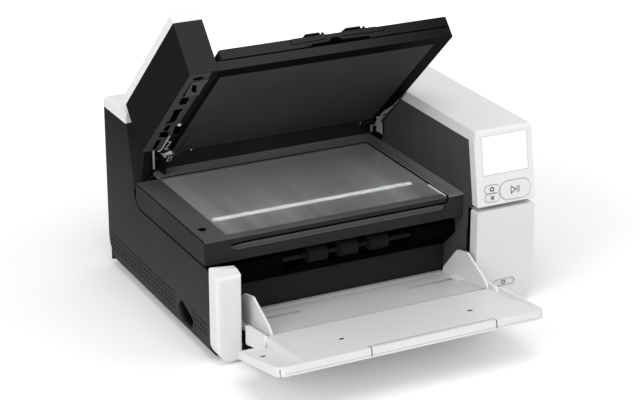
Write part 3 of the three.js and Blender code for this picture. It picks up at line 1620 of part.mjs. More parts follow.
function sideGuide(name, x, inward) {
  const bottom = (y) => plateTopAt(y) + clearance;
  const wallShape = outline([
    [guideToeY, bottom(guideToeY)],
    [guideHeelY, bottom(guideHeelY)],
    [guideHeelY - guideThickness, bottom(guideHeelY) + guideThickness * 3, guideThickness],
    [guidePeakRearY, guidePeakZ - guideThickness * 2, guideThickness * 2],
    [guidePeakFrontY, guidePeakZ, guideThickness * 3],
    [guideShoulderY, guideShoulderZ, guideThickness * 2],
    [guideToeY, bottom(guideToeY) + guideThickness, guideThickness / 2],
  ]);
  const plate = extrude(wallShape, "x", x, x + guideThickness);
  const footX = inward > 0 ? [x, x + guideFoot] : [x + guideThickness - guideFoot, x + guideThickness];
  const footShape = outline([
    [slotY - guideFoot, bottom(slotY - guideFoot)],
    [slotY + guideFoot, bottom(slotY + guideFoot)],
    [slotY + guideFoot, bottom(slotY + guideFoot) + guideThickness],
    [slotY - guideFoot, bottom(slotY - guideFoot) + guideThickness],
  ]);
  const base = extrude(footShape, "x", ...footX);
  const keyX = inward > 0 ? x + guideThickness : x - guideThickness;
  const key = box(
    [keyX, keyX + guideThickness],
    [slotY + clearance, slotY + slotWidth - clearance],
    [plateTopAt(slotY) - plateThickness, bottom(slotY) + guideThickness / 2],
  );
  piece(elevator, name, union([plate, base, key]), bedWhite, 0.4);
}
elevatorPlate();
sideGuide("side_guide_left", guideLeftX, 1);
sideGuide("side_guide_right", guideRightX, -1);

// The origin lies under the middle of the model's box
const modelBox = new THREE.Box3().setFromObject(machine, true);
const middle = modelBox.getCenter(new THREE.Vector3());
machine.position.set(-middle.x, -middle.y, -modelBox.min.z);

export default group;
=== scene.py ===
# %% [markdown]
# # A flatbed document scanner, dressed for its photograph
#
# The machine's shape and its moving bodies come from a packed engineering model, the frame. This script
# gives every part its finish, adds the fine pieces that only the eye needs, sets a camera where the
# photograph was taken, and lights it all softly. Everything is in metres, X to the right, Y to the rear.

# %% Load the frame
import math

import bmesh
import bpy
from mathutils import Matrix, Vector


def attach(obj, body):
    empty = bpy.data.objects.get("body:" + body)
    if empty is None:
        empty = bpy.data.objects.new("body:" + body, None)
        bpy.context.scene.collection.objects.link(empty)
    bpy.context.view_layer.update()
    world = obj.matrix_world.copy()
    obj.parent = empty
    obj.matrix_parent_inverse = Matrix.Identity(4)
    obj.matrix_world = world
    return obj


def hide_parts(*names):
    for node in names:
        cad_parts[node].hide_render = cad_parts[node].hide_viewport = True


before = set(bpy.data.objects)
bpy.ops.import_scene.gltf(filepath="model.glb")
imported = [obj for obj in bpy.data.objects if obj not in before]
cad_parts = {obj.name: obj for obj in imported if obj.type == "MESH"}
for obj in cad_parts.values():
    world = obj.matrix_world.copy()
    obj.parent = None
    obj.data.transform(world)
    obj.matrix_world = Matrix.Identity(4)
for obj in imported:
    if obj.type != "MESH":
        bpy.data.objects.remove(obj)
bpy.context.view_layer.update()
MM = 0.001
scene = bpy.context.scene

# %% [markdown]
# The fine pieces sit on parts of the frame, so their places are read from those parts. `extent` gives the
# corners of one part's box, and `at` turns the millimetres of the machine's own axes into metres: X from its
# left side, Y from the front edge of that side, Z from the ground under its feet.


# %% Places on the frame
def extent(name):
    points = [vertex.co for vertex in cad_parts[name].data.vertices]
    low = Vector([min(point[axis] for point in points) for axis in range(3)])
    high = Vector([max(point[axis] for point in points) for axis in range(3)])
    return low, high


machine_corner = extent("left_side_panel")[0]


def at(x, y, z):
    return Vector((machine_corner.x + x * MM, machine_corner.y + y * MM, z * MM))


LID_OPEN = math.radians(42.8)
TRAY_TILT = math.radians(10.1)
COLUMN_LEAN = math.radians(9.4)
pin_low, pin_high = extent("hinge_pin_left")
hinge_line = Vector((machine_corner.x, (pin_low.y + pin_high.y) / 2, (pin_low.z + pin_high.z) / 2))
ALONG_LID = Vector((0, math.cos(LID_OPEN), -math.sin(LID_OPEN)))
OVER_LID = Vector((0, math.sin(LID_OPEN), math.cos(LID_OPEN)))
LID_REACH = 290.9 * MM
LID_DROP = 14.1 * MM


def on_lid(x, along, over):
    """A place on the lid: X, distance from its front edge to the rear, height over its underside."""
    front = hinge_line - ALONG_LID * LID_REACH - OVER_LID * LID_DROP
    return front + Vector((x * MM, 0, 0)) + ALONG_LID * (along * MM) + OVER_LID * (over * MM)


lid_corner = on_lid(0, 0, 0)
print("lid hinge line at", [round(value / MM, 1) for value in hinge_line])

# %% [markdown]
# The camera repeats the photograph's view. Its place was worked out from the edges of the machine, which
# meet in vanishing points: about 27 degrees to the left of the front and 22 degrees above the level.
# A long lens keeps the far corner of the machine nearly as large as the near one.

# %% Camera
CAMERA_PLACE = Vector((-1.1296, -2.1659, 1.1247))
CAMERA_AZIMUTH = math.radians(-26.73)
CAMERA_ELEVATION = math.radians(21.8)
CAMERA_LENS_MM = 114.49
SENSOR_MM = 36


def add_camera():
    data = bpy.data.cameras.new("camera")
    data.lens, data.sensor_width = CAMERA_LENS_MM, SENSOR_MM
    data.clip_end = 50
    camera = bpy.data.objects.new("camera", data)
    scene.collection.objects.link(camera)
    camera.location = CAMERA_PLACE
    camera.rotation_euler = (math.pi / 2 - CAMERA_ELEVATION, 0, CAMERA_AZIMUTH)
    scene.camera = camera


add_camera()

# %% [markdown]
# Shader arithmetic reads best as ordinary arithmetic. This small class wraps one output socket, and its
# operators add Math nodes, so `1 - mask * 0.5` builds the two nodes that it describes. `blend` mixes two
# colours, and `node` makes any other node.


# %% Shader expressions
class Wire:
    """One output socket of a material, with arithmetic."""

    def __init__(self, tree, socket):
        self.tree, self.socket = tree, socket

    def node(self, kind, settings=None, **values):
        made = self.tree.nodes.new(kind)
        for name, value in (settings or {}).items():
            if name == "stops":
                set_stops(made.color_ramp, value)
            else:
                setattr(made, name, value)
        for name, value in values.items():
            plug(self.tree, made.inputs[name.replace("_", " ")], value)
        return Wire(self.tree, made.outputs[0])

    def math(self, operation, *values):
        made = self.tree.nodes.new("ShaderNodeMath")
        made.operation = operation
        for socket, value in zip(made.inputs, values):
            plug(self.tree, socket, value)
        return Wire(self.tree, made.outputs[0])

    def axes(self):
        made = self.tree.nodes.new("ShaderNodeSeparateXYZ")
        plug(self.tree, made.inputs[0], self)
        return [Wire(self.tree, socket) for socket in made.outputs]

    def blend(self, other, factor):
        made = self.tree.nodes.new("ShaderNodeMix")
        made.data_type = "RGBA"
        named = {socket.identifier: socket for socket in made.inputs}
        plug(self.tree, named["Factor_Float"], factor)
        plug(self.tree, named["A_Color"], self)
        plug(self.tree, named["B_Color"], other)
        results = {socket.identifier: socket for socket in made.outputs}
        return Wire(self.tree, results["Result_Color"])

    def clamped(self):
        """The same value, kept between 0 and 1."""
        return self.math("MAXIMUM", self.math("MINIMUM", self, 1.0), 0.0)

    def __add__(self, other):
        return self.math("ADD", self, other)

    def __sub__(self, other):
        return self.math("SUBTRACT", self, other)

    def __rsub__(self, other):
        return self.math("SUBTRACT", other, self)

    def __mul__(self, other):
        return self.math("MULTIPLY", self, other)

    def __truediv__(self, other):
        return self.math("DIVIDE", self, other)

    def __gt__(self, other):
        return self.math("GREATER_THAN", self, other)

    def __lt__(self, other):
        return self.math("LESS_THAN", self, other)

    __radd__, __rmul__ = __add__, __mul__


def plug(tree, socket, value):
    if isinstance(value, Wire):
        tree.links.new(value.socket, socket)
    else:
        socket.default_value = value


def set_stops(ramp, stops):
    while len(ramp.elements) < len(stops):
        ramp.elements.new(0.5)
    for element, (place, color) in zip(ramp.elements, stops):
        element.position, element.color = place, color


# %% [markdown]
# Moulded plastic is never one flat colour. The mould leaves a fine grain that breaks up highlights, and
# handling polishes some areas more than others. `moulded` makes both from noise on Object coordinates: a
# coarse noise shifts colour and roughness a little, and a fine noise becomes bump. `marks` holds pairs of a
# mask and a colour, for joints and bands that the eye sees as lines on the surface, and for painted shade and
# painted light on some areas. The blacks are so dull that even their slanted faces mirror little, so they get
# a low index of refraction.


# %% Moulded plastic
def grey(tone):
    return (tone, tone, tone)


def new_material(name):
    material = bpy.data.materials.new(name)
    material.use_nodes = True
    shader = material.node_tree.nodes["Principled BSDF"]
    coordinates = material.node_tree.nodes.new("ShaderNodeTexCoord")
    place = Wire(material.node_tree, coordinates.outputs["Object"])
    return material, shader, place


def noise(place, scale, detail=2.0):
    return place.node("ShaderNodeTexNoise", {}, Vector=place, Scale=scale, Detail=detail)


def tinted(place, color, mask, spread):
    """A colour that the mask shifts from a little darker to a little lighter."""
    darker = (*[channel * (1 - spread) for channel in color], 1)
    lighter = (*[min(1, channel * (1 + spread)) for channel in color], 1)
    ramp = {"stops": [(0.3, darker), (0.7, lighter)]}
    return place.node("ShaderNodeValToRGB", ramp, Fac=mask)


CLOUD_SCALE = 9.0
ROUGHNESS_SPREAD = 0.12
GRAIN_HEIGHT = 0.2 * MM
DULL_INDEX = 1.12
DULL_BELOW = 0.2


def moulded(name, color, roughness, grain, depth, spread=0.03, coat=0.0, shine=0.5, marks=()):
    material, shader, place = new_material(name)
    tree = material.node_tree
    cloud = noise(place, CLOUD_SCALE)
    surface = tinted(place, color, cloud, spread)
    for mask, mark_color in marks:
        surface = surface.blend((*mark_color, 1), mask(place))
    plug(tree, shader.inputs["Base Color"], surface)
    plug(tree, shader.inputs["Roughness"], roughness + (cloud - 0.5) * ROUGHNESS_SPREAD)
    height = noise(place, grain, 3.0)
    bump = place.node("ShaderNodeBump", {}, Height=height, Strength=depth, Distance=GRAIN_HEIGHT)
    plug(tree, shader.inputs["Normal"], bump)
    shader.inputs["Coat Weight"].default_value = coat
    shader.inputs["Coat Roughness"].default_value = 0.25
    shader.inputs["Specular IOR Level"].default_value = shine
    if max(color) < DULL_BELOW:
        shader.inputs["IOR"].default_value = DULL_INDEX
    return material


# %% [markdown]
# Two joints on the left side are too narrow to be seen as gaps from two metres away, yet the photograph shows
# them as black lines: the curved one below the flatbed and the straight one below its deck. The flatbed turns
# about the middle of the curved joint, so that joint is an arc about this point, and then a straight line to
# the front. Other masks paint shade on some areas of one part and light on others, such as painted shade on
# the front of the flatbed. Each is a formula of the place.

# %% Masks for joints, bands, painted shade and painted light
BLACK = grey(0.002)
RIM_BLACK = grey(0.004)
EDGE_DARK = grey(0.011)
# painted light on the underside of the lid's arm
RAIL_LIGHT = grey(0.06)
ARM_FRONT = grey(0.031)
# painted sheen on the top of the flatbed's band
BAND_SHEEN_GREY = (0.2, 0.2, 0.197)
BAND_FRONT = grey(0.033)
# painted shade on the flatbed's upright front
FLATBED_FRONT_SHADE = grey(0.027)
# painted light on the lower lip of the finger groove, which lies in shade
LIP_LIGHT = grey(0.15)
SIDE_TOP = grey(0.018)
MODULE_GREY = grey(0.03)
pivot = at(0, 218, 145)
pod_front = extent("pod_band")[0].y
column_left = extent("lower_front_panel")[0].x
PIVOT_RADIUS = 22.55 * MM
JOINT_BELOW = 2.4 * MM
JOINT_ABOVE = 0.8 * MM
SHADE_LOW_Z = 60
SHADE_RISE = 160
EDGE_SHADE_X = 180
EDGE_SHADE_WIDTH = 170
SIDE_PANEL_X = 30
GROOVE_LEFT_X = 30
DECK_LINE_Z = 152.4
BAND_X = 342.9
LIP_LOW_Z, LIP_HIGH_Z = 136.5, 144.4
LIP_DEPTH = 6 * MM
MODULE_STEP_Z = 66.2
ARM_LEFT_X, CHANNEL_X = 0.4, 29.5
FACET_Y = -7
FACET_WIDTH = 3 * MM
FACE_SKIN = 0.3 * MM  # how far below a face its mask still counts
END_SKIN = 0.5 * MM
RAIL_SKIN = 0.6 * MM


def joint_distance(y, z):
    """Distance below the flatbed's lower edge: round the pivot behind it, straight in front of it."""
    back, up = y - pivot.y, z - pivot.z
    round_part = (back * back + up * up).math("SQRT", back * back + up * up) - PIVOT_RADIUS
    straight_part = (pivot.z - PIVOT_RADIUS) - z
    behind = back > 0
    return behind * round_part + (1 - behind) * straight_part


def panel_joint(place):
    """The joint's lower half, on the left side panel."""
    x, y, z = place.axes()
    return (joint_distance(y, z) < JOINT_BELOW) * (z < pivot.z) * (x < at(SIDE_PANEL_X, 0, 0).x)


def flatbed_joint(place):
    """The joint's upper half and the dark line under the deck, on the flatbed's left side."""
    x, y, z = place.axes()
    side = x < machine_corner.x + END_SKIN
    upper_line = z > at(0, 0, DECK_LINE_Z).z
    return side * upper_line.math("MAXIMUM", upper_line, joint_distance(y, z) > -JOINT_ABOVE)


def band_area(place):
    """The band along the flatbed's right side."""
    x, y, z = place.axes()
    return x > at(BAND_X, 0, 0).x


def lip_painted_light(place):
    """Painted light on the sloped lower lip of the finger groove in the flatbed's front, which lies in shade.
    """
    x, y, z = place.axes()
    inside = (y > pod_front + FACE_SKIN) * (y < pod_front + LIP_DEPTH) * (x > at(GROOVE_LEFT_X, 0, 0).x)
    return inside * (z > at(0, 0, LIP_LOW_Z).z) * (z < at(0, 0, LIP_HIGH_Z).z)


def module_front(place):
    """The sheet feeder's housing below the step that the sheets run over."""
    x, y, z = place.axes()
    return z < at(0, 0, MODULE_STEP_Z).z


def along_lid(y, z):
    """Distance to the rear from the plane of the lid's front edge."""
    return (y - lid_corner.y) * ALONG_LID.y + (z - lid_corner.z) * ALONG_LID.z


def over_lid(y, z):
    """Height over the plane of the lid's underside."""
    return (y - lid_corner.y) * OVER_LID.y + (z - lid_corner.z) * OVER_LID.z


def rail_painted_light(place):
    """Painted light on the underside of the lid's arm, without the deep channel at its right."""
    x, y, z = place.axes()
    return (over_lid(y, z) < RAIL_SKIN) * (x < at(CHANNEL_X, 0, 0).x) * (x > at(ARM_LEFT_X, 0, 0).x)


def arm_front(place):
    """The front end of the lid's arm."""
    x, y, z = place.axes()
    return (along_lid(y, z) < END_SKIN) * (x > at(ARM_LEFT_X, 0, 0).x)


def flatbed_front_shade(place):
    """Painted shade on the upright front of the flatbed, round the finger groove."""
    x, y, z = place.axes()
    return y < pod_front + FACE_SKIN


def side_shade(place):
    """Grows from nothing low on the side panel to full at its top."""
    x, y, z = place.axes()
    return ((z - at(0, 0, SHADE_LOW_Z).z) / (SHADE_RISE * MM)).clamped()


def frame_underside(place):
    """The rim round the lid's backing plate, which lies in deep shade."""
    x, y, z = place.axes()
    return over_lid(y, z) < FACE_SKIN


def lid_front_shade(place):
    """The lid's front edge, darker towards its right end."""
    x, y, z = place.axes()
    share = (x - at(EDGE_SHADE_X, 0, 0).x) / (EDGE_SHADE_WIDTH * MM)
    return (along_lid(y, z) < END_SKIN) * share.clamped()


def facet_shade(place):
    """The rear part of the lower panel's left side, which lies in the flatbed's shade."""
    x, y, z = place.axes()
    return (x < column_left + FACET_WIDTH) * (y > at(0, FACET_Y, 0).y)


# %% [markdown]
# The plastics. White covers are satin, the black covers are coarse and dull, and the flatbed's deck is
# greyer. The light grey on the top of the flatbed's band is a painted sheen.

# %% Plastics
FINE_GRAIN = 1400
COARSE_GRAIN = 700
white_plastic = moulded(
    "white satin plastic", (0.8, 0.8, 0.795), 0.34, FINE_GRAIN, 0.12, spread=0.012, coat=0.1)
panel_white = moulded(
    "lower panel white", (0.74, 0.745, 0.745), 0.36, FINE_GRAIN, 0.12, spread=0.012, shine=0.1,
    marks=[(facet_shade, BLACK)])
cover_white = moulded("top cover white", (0.77, 0.77, 0.765), 0.36, FINE_GRAIN, 0.12, spread=0.012, coat=0.1)
bezel_white = moulded("bezel white", (0.79, 0.79, 0.785), 0.42, FINE_GRAIN, 0.12, spread=0.012, shine=0.3)
key_white = moulded("key white", grey(0.76), 0.4, FINE_GRAIN, 0.1, spread=0.012, coat=0.05)
key_grey = moulded("sign grey", grey(0.36), 0.4, FINE_GRAIN, 0.1, spread=0.02, coat=0.05)
tray_plastic = moulded("tray white plastic", (0.76, 0.76, 0.75), 0.42, FINE_GRAIN, 0.16, spread=0.015)
side_black = moulded(
    "side panel black", grey(0.05), 0.5, COARSE_GRAIN, 0.5, spread=0.12, shine=0.1,
    marks=[(side_shade, SIDE_TOP), (panel_joint, BLACK)])
soft_black = moulded("textured black", grey(0.025), 0.5, COARSE_GRAIN, 0.45, spread=0.12, shine=0.1)
# The flatbed's marks paint shade on its upright front and light on the lower lip of its finger groove.
pod_black = moulded(
    "flatbed black", grey(0.036), 0.5, COARSE_GRAIN, 0.45, spread=0.12, shine=0.1,
    marks=[
        (flatbed_front_shade, FLATBED_FRONT_SHADE), (band_area, BAND_FRONT), (lip_painted_light, LIP_LIGHT),
        (flatbed_joint, BLACK)])
deck_black = moulded(
    "flatbed deck", (0.085, 0.085, 0.084), 0.46, COARSE_GRAIN, 0.45, spread=0.1, shine=0.15,
    marks=[(flatbed_joint, BLACK)])
lid_black = moulded(
    "lid black", grey(0.031), 0.46, COARSE_GRAIN, 0.4, spread=0.12, shine=0.08,
    marks=[(frame_underside, RIM_BLACK), (lid_front_shade, EDGE_DARK)])
# The arm's underside gets painted light.
arm_black = moulded(
    "arm black", grey(0.01), 0.5, COARSE_GRAIN, 0.4, spread=0.12, shine=0.04,
    marks=[(rail_painted_light, RAIL_LIGHT), (arm_front, ARM_FRONT)])
deep_black = moulded("inner black", grey(0.008), 0.6, COARSE_GRAIN, 0.3, spread=0.12, shine=0.1)
# joints, and painted shade in holes, slots and the lid's recess
joint_black_and_hole_shade = moulded("joint black and painted hole shade", grey(0.0015), 0.9, COARSE_GRAIN, 0.2, spread=0.12, shine=0.0)
wall_black = moulded("column inner wall", grey(0.075), 0.55, COARSE_GRAIN, 0.3, spread=0.12, shine=0.2)
backing_black = moulded("lid backing", grey(0.045), 0.55, COARSE_GRAIN, 0.3, spread=0.1, shine=0.2)
# painted sheen: a light grey for the top of the flatbed's band
band_sheen_grey = moulded("flatbed band grey with painted sheen", BAND_SHEEN_GREY, 0.42, COARSE_GRAIN, 0.4, spread=0.06, shine=0.25)
module_black = moulded(
    "sheet feeder black", grey(0.003), 0.6, COARSE_GRAIN, 0.3, spread=0.12, shine=0.05,
    marks=[(module_front, MODULE_GREY)])
rail_grey = moulded("rail grey", (0.08, 0.08, 0.078), 0.5, COARSE_GRAIN, 0.4, spread=0.1, shine=0.2)
plate_white = moulded("elevator plate", (0.62, 0.62, 0.615), 0.45, FINE_GRAIN, 0.2, spread=0.02)
rubber = moulded("roller rubber", grey(0.02), 0.8, FINE_GRAIN, 0.4, spread=0.1, shine=0.2)
print_dark = moulded("printed sign", (0.012, 0.012, 0.013), 0.5, FINE_GRAIN, 0.05, spread=0.05)
# joint lines, and painted shade in the tray's screw holes
joint_grey_and_hole_shade = moulded("joint grey and painted hole shade", grey(0.1), 0.6, FINE_GRAIN, 0.05, spread=0.05, shine=0.1)
print_pale = moulded("printed line", (0.6, 0.61, 0.61), 0.5, FINE_GRAIN, 0.05, spread=0.04)
print("plastics ready")

# %% [markdown]
# Pins, springs and straps are bright steel. Long thin noise, stretched along one axis, gives the brushed
# look. The bed's glass is a dull green grey: it lies over a closed space, and the light that comes back is
# weak. Painted light makes it paler towards the rear, and a painted reflection of the open lid shows on it as
# soft streaks from front to rear.


# %% Brushed steel and glass
GLASS_NEAR_Y = 30
GLASS_DEPTH = 200


def brushed_steel():
    material, shader, place = new_material("brushed steel")
    tree = material.node_tree
    stretched = place.node("ShaderNodeMapping", {}, Vector=place, Scale=(40, 900, 900))
    streaks = noise(stretched, 1.0, 2.0)
    plug(tree, shader.inputs["Base Color"], tinted(place, (0.76, 0.76, 0.75), streaks, 0.1))
    plug(tree, shader.inputs["Roughness"], streaks * 0.2 + 0.3)
    shader.inputs["Metallic"].default_value = 0.5
    return material


def bed_glass():
    material, shader, place = new_material("bed glass")
    tree = material.node_tree
    smudge = noise(place, 14.0, 4.0)
    # The stretched streaks are a painted reflection of the open lid.
    stretched = place.node("ShaderNodeMapping", {}, Vector=place, Scale=(26, 2.2, 1))
    streaks = noise(stretched, 1.0, 2.0)
    x, y, z = place.axes()
    # Painted light: the colour grows paler towards the rear, where the lid shades the glass.
    depth = ((y - at(0, GLASS_NEAR_Y, 0).y) / (GLASS_DEPTH * MM)).clamped()
    tone = tinted(place, (0.26, 0.275, 0.27), streaks, 0.3)
    plug(tree, shader.inputs["Base Color"], tone.blend((0.6, 0.62, 0.61, 1), depth * 0.75))
    plug(tree, shader.inputs["Roughness"], smudge * 0.05 + 0.05)
    plug(tree, shader.inputs["Alpha"], 0.76 + smudge * 0.06)
    shader.inputs["Coat Weight"].default_value = 0.6
    return material


steel = brushed_steel()
glass = bed_glass()

# %% [markdown]
# The screen and the scan lamp shine. The screen shows a plain white page behind a glossy pane, and the lamp
# is the white line under the glass. Emission adds to the light that falls on them, so both stay white in
# shade.


# %% Lit surfaces
def lit(name, color, strength):
    material, shader, place = new_material(name)
    tree = material.node_tree
    unevenness = noise(place, 30.0)
    plug(tree, shader.inputs["Base Color"], tinted(place, color, unevenness, 0.02))
    plug(tree, shader.inputs["Roughness"], unevenness * 0.04 + 0.12)
    plug(tree, shader.inputs["Emission Color"], tinted(place, (0.98, 0.98, 1.0), unevenness, 0.01))
    shader.inputs["Emission Strength"].default_value = strength
    return material


screen_page = lit("lit screen", (0.6, 0.6, 0.61), 0.45)
scan_lamp = lit("scan lamp", (0.9, 0.9, 0.9), 9.0)

# %% [markdown]
# Each part of the frame gets the finish that the photograph shows.

# %% Finishes of the frame's parts
finishes = {
    "front_left_post": white_plastic, "lower_front_panel": panel_white, "control_bezel": bezel_white,
    "column_top_cover": cover_white, "rear_top_cover": cover_white, "arm_top_cover": white_plastic,
    "input_tray": tray_plastic, "tray_extension": tray_plastic, "tray_cheek_left": tray_plastic,
    "tray_cheek_right": tray_plastic, "side_guide_left": tray_plastic, "side_guide_right": tray_plastic,
    "home_button": key_white, "cancel_button": key_white, "start_button": key_white,
    "power_button": panel_white, "pulley_front": white_plastic, "pulley_rear": white_plastic,
    "touch_screen": screen_page, "light_bar": scan_lamp, "post_boss": band_sheen_grey,
    "left_side_panel": side_black, "right_side_panel": side_black, "rear_panel": side_black,
    "power_inlet": deep_black, "glass_frame": deck_black, "output_stop_left": soft_black,
    "output_stop_right": soft_black, "base_tub": soft_black, "grip_cup_left": deep_black,
    "grip_cup_right": deep_black, "column_inner_wall": wall_black, "rear_housing": soft_black,
    "feed_module": module_black, "pod_shell": pod_black, "pod_band": band_sheen_grey, "scan_carriage": deep_black,
    "arm_shell": arm_black, "lid_frame": lid_black, "lid_upper_panel": lid_black,
    "backing_plate": backing_black, "tray_frame": deep_black, "elevator_plate": plate_white,
    "data_port": steel, "guide_rod": steel, "hinge_leaf_left": backing_black, "hinge_leaf_right": lid_black,
    "hinge_bracket_left": deep_black, "hinge_bracket_right": deep_black, "hinge_pin_left": steel,
    "hinge_pin_right": steel, "platen_glass": glass, "drive_belt": rubber, "feed_roller": rubber,
    "exit_roller": rubber, "foot_front_left": rubber, "foot_front_right": rubber,
    "foot_rear_left": rubber, "foot_rear_right": rubber,
}


def give_finish(target, material):
    target.data.materials.clear()
    target.data.materials.append(material)
    for face in target.data.polygons:
        face.material_index = 0


for name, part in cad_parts.items():
    give_finish(part, finishes[name])
print("finished", len(finishes), "parts of the frame")

# %% [markdown]
# Small pieces are drawn on a plane and raised from it. A plane is a matrix whose X runs right, whose Y runs
# up and whose Z comes out of the surface. `grid` skins rows of points, and everything else is built on it:
# `stroke` is a band along a path, `plate` is an outline with a softened edge, and `turned` is a round part.


# %% Drawing on planes
def plane(origin, right, up):
    right, up = Vector(right).normalized(), Vector(up).normalized()
    matrix = Matrix((right, up, right.cross(up))).transposed().to_4x4()
    matrix.translation = origin
    return matrix


def grid(bm, matrix, rows, closed=False):
    made = [[bm.verts.new(matrix @ (Vector(point) * MM)) for point in row] for row in rows]
    following = made[1:] + made[:1] if closed else made[1:]
    for row, after in zip(made, following):
        for index, vertex in enumerate(row):
            turn = (index + 1) % len(row)
            bm.faces.new((vertex, row[turn], after[turn], after[index]))
    if not closed:
        bm.faces.new(made[0][::-1])
        bm.faces.new(made[-1])


def offset(points, distance, closed=True):
    """The same path moved sideways, to the left of its direction."""
    moved = []
    for index, point in enumerate(points):
        here = Vector(point)
        before = Vector(points[index - 1]) if closed or index else here
        after = Vector(points[(index + 1) % len(points)]) if closed or index + 1 < len(points) else here
        along = ((here - before).normalized() + (after - here).normalized()).normalized()
        moved.append(here + Vector((-along.y, along.x)) * distance)
    return moved


def stroke(bm, matrix, points, width, low, high, closed=False):
    left, right = offset(points, width / 2, closed), offset(points, -width / 2, closed)
    rows = [[(*a, low), (*a, high), (*b, high), (*b, low)] for a, b in zip(left, right)]
    grid(bm, matrix, rows, closed)


def plate(bm, matrix, points, low, high, edge=0.1):
    inner = offset(points, edge)
    levels = [(points, low), (points, high - edge), (inner, high)]
    grid(bm, matrix, [[(*point, level) for point in outline] for outline, level in levels])


def circle(radius, centre=(0, 0), steps=24, start=0.0, sweep=360.0):
    """Points round a circle; a sweep under 360 degrees gives an arc with both its ends."""
    count = steps if sweep >= 360 else steps + 1
    angles = [math.radians(start + sweep * step / steps) for step in range(count)]
    return [(centre[0] + radius * math.cos(a), centre[1] + radius * math.sin(a)) for a in angles]


def turned(bm, matrix, centre, profile, steps=20):
    rings = [(circle(radius, centre, steps), level) for radius, level in profile]
    grid(bm, matrix, [[(*point, level) for point in ring] for ring, level in rings])


def rounded(width, height, radius, centre=(0, 0), steps=6):
    """A rectangle with round corners, counter-clockwise."""
    points = []
    for turn, (side, top) in enumerate(((1, 1), (-1, 1), (-1, -1), (1, -1))):
        middle = (centre[0] + side * (width / 2 - radius), centre[1] + top * (height / 2 - radius))
        points += circle(radius, middle, steps, turn * 90, 90)
    return points


def add_piece(name, bm, body, material):
    bmesh.ops.recalc_face_normals(bm, faces=bm.faces)
    mesh = bpy.data.meshes.new(name)
    bm.to_mesh(mesh)
    bm.free()
    mesh.materials.append(material)
    piece = bpy.data.objects.new(name, mesh)
    scene.collection.objects.link(piece)
    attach(piece, body)
    return piece


# %% [markdown]
# The leaning control face. Each key's plane lies on the bezel over the middle of the key. A thin pale grey
# line runs round each key, as the edge of its opening does in the photograph, and the signs are printed on
# the keys: a home, a cross, and a triangle with two bars. The signs move with their keys.


# %% Keys of the control face
def over(name, surface, up):
    """The plane on the outermost face of one part, over the middle of another, and that one's size."""
    matrix = plane((0, 0, 0), (1, 0, 0), up)
    back = matrix.inverted()
    spots = [back @ vertex.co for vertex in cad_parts[name].data.vertices]
    face = max((back @ vertex.co).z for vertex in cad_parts[surface].data.vertices)
    left, right = min(spot.x for spot in spots), max(spot.x for spot in spots)
    bottom, top = min(spot.y for spot in spots), max(spot.y for spot in spots)
    matrix.translation = matrix @ Vector(((left + right) / 2, (bottom + top) / 2, face))
    return matrix, (right - left) / MM, (top - bottom) / MM


LEANING = (0, math.sin(COLUMN_LEAN), math.cos(COLUMN_LEAN))
UPRIGHT = (0, 0, 1)
INK = 0.12
key_line = bmesh.new()
for key, corner in (("home_button", 4.8), ("cancel_button", 4.8), ("start_button", 12)):
    spot, width, height = over(key, "control_bezel", LEANING)
    stroke(key_line, spot, rounded(width + 0.2, height + 0.2, corner), 0.34, -0.2, INK, True)
add_piece("key_outlines", key_line, "base", print_pale)

home_spot = over("home_button", "home_button", LEANING)[0]
home_sign = bmesh.new()
house = [(-2.0, -2.3), (2.0, -2.3), (2.7, 0.3), (0, 2.6), (-2.7, 0.3)]
stroke(home_sign, home_spot, house, 1.7, -0.1, INK, True)
add_piece("home_sign", home_sign, "home_key", print_dark)

cancel_spot = over("cancel_button", "cancel_button", LEANING)[0]
cancel_sign = bmesh.new()
ARM, HALF = 3.0, 0.95
cross = [(HALF, 0), (ARM, ARM - HALF), (ARM - HALF, ARM), (0, HALF), (HALF - ARM, ARM), (-ARM, ARM - HALF)]
cross += [(-x, -y) for x, y in cross]
plate(cancel_sign, cancel_spot, cross, -0.1, INK, 0.04)
add_piece("cancel_sign", cancel_sign, "cancel_key", print_dark)

start_spot = over("start_button", "start_button", LEANING)[0]
start_sign = bmesh.new()
stroke(start_sign, start_spot, [(-6.6, -4.6), (0.2, 0), (-6.6, 4.6)], 2.1, -0.1, INK, True)
add_piece("start_sign", start_sign, "start_key", print_dark)
start_bars = bmesh.new()
for middle in (2.6, 5.4):
    plate(start_bars, start_spot, rounded(2.2, 8.8, 0.3, (middle, 0), 2), -0.1, INK, 0.04)
add_piece("start_bars", start_bars, "start_key", key_grey)

# %% [markdown]
# The power key lies in a pill-shaped opening with a grey rim. Its sign is an open ring with a bar. The
# screen has a thin grey border where the pane ends and the lit page begins.

# %% Power key and screen border
power_spot, width, height = over("power_button", "lower_front_panel", UPRIGHT)
FLANGE = 3.8  # the key's box, with its hidden flange, is this much larger than the rim's path
power_rim = bmesh.new()
rim_path = rounded(width - FLANGE, height - FLANGE, (height - FLANGE) / 2)
stroke(power_rim, power_spot, rim_path, 0.9, -0.3, INK, True)
add_piece("power_rim", power_rim, "base", key_grey)
power_spot = over("power_button", "power_button", UPRIGHT)[0]
power_sign = bmesh.new()
stroke(power_sign, power_spot, circle(2.5, (0, 0), 20, 120, 300), 1.2, -0.1, INK)
stroke(power_sign, power_spot, [(0, 0.6), (0, 3.2)], 1.1, -0.1, INK + 0.02)
add_piece("power_sign", power_sign, "power_key", print_dark)

screen_spot, width, height = over("touch_screen", "touch_screen", LEANING)
BACKING = 5.8  # the screen's box, with its hidden backing, is this much larger than the border
screen_line = bmesh.new()
border = rounded(width - BACKING, height - BACKING, 1.2)
stroke(screen_line, screen_spot, border, 1.0, -0.1, INK, True)
add_piece("screen_border", screen_line, "base", print_pale)
print("keys and screen drawn")

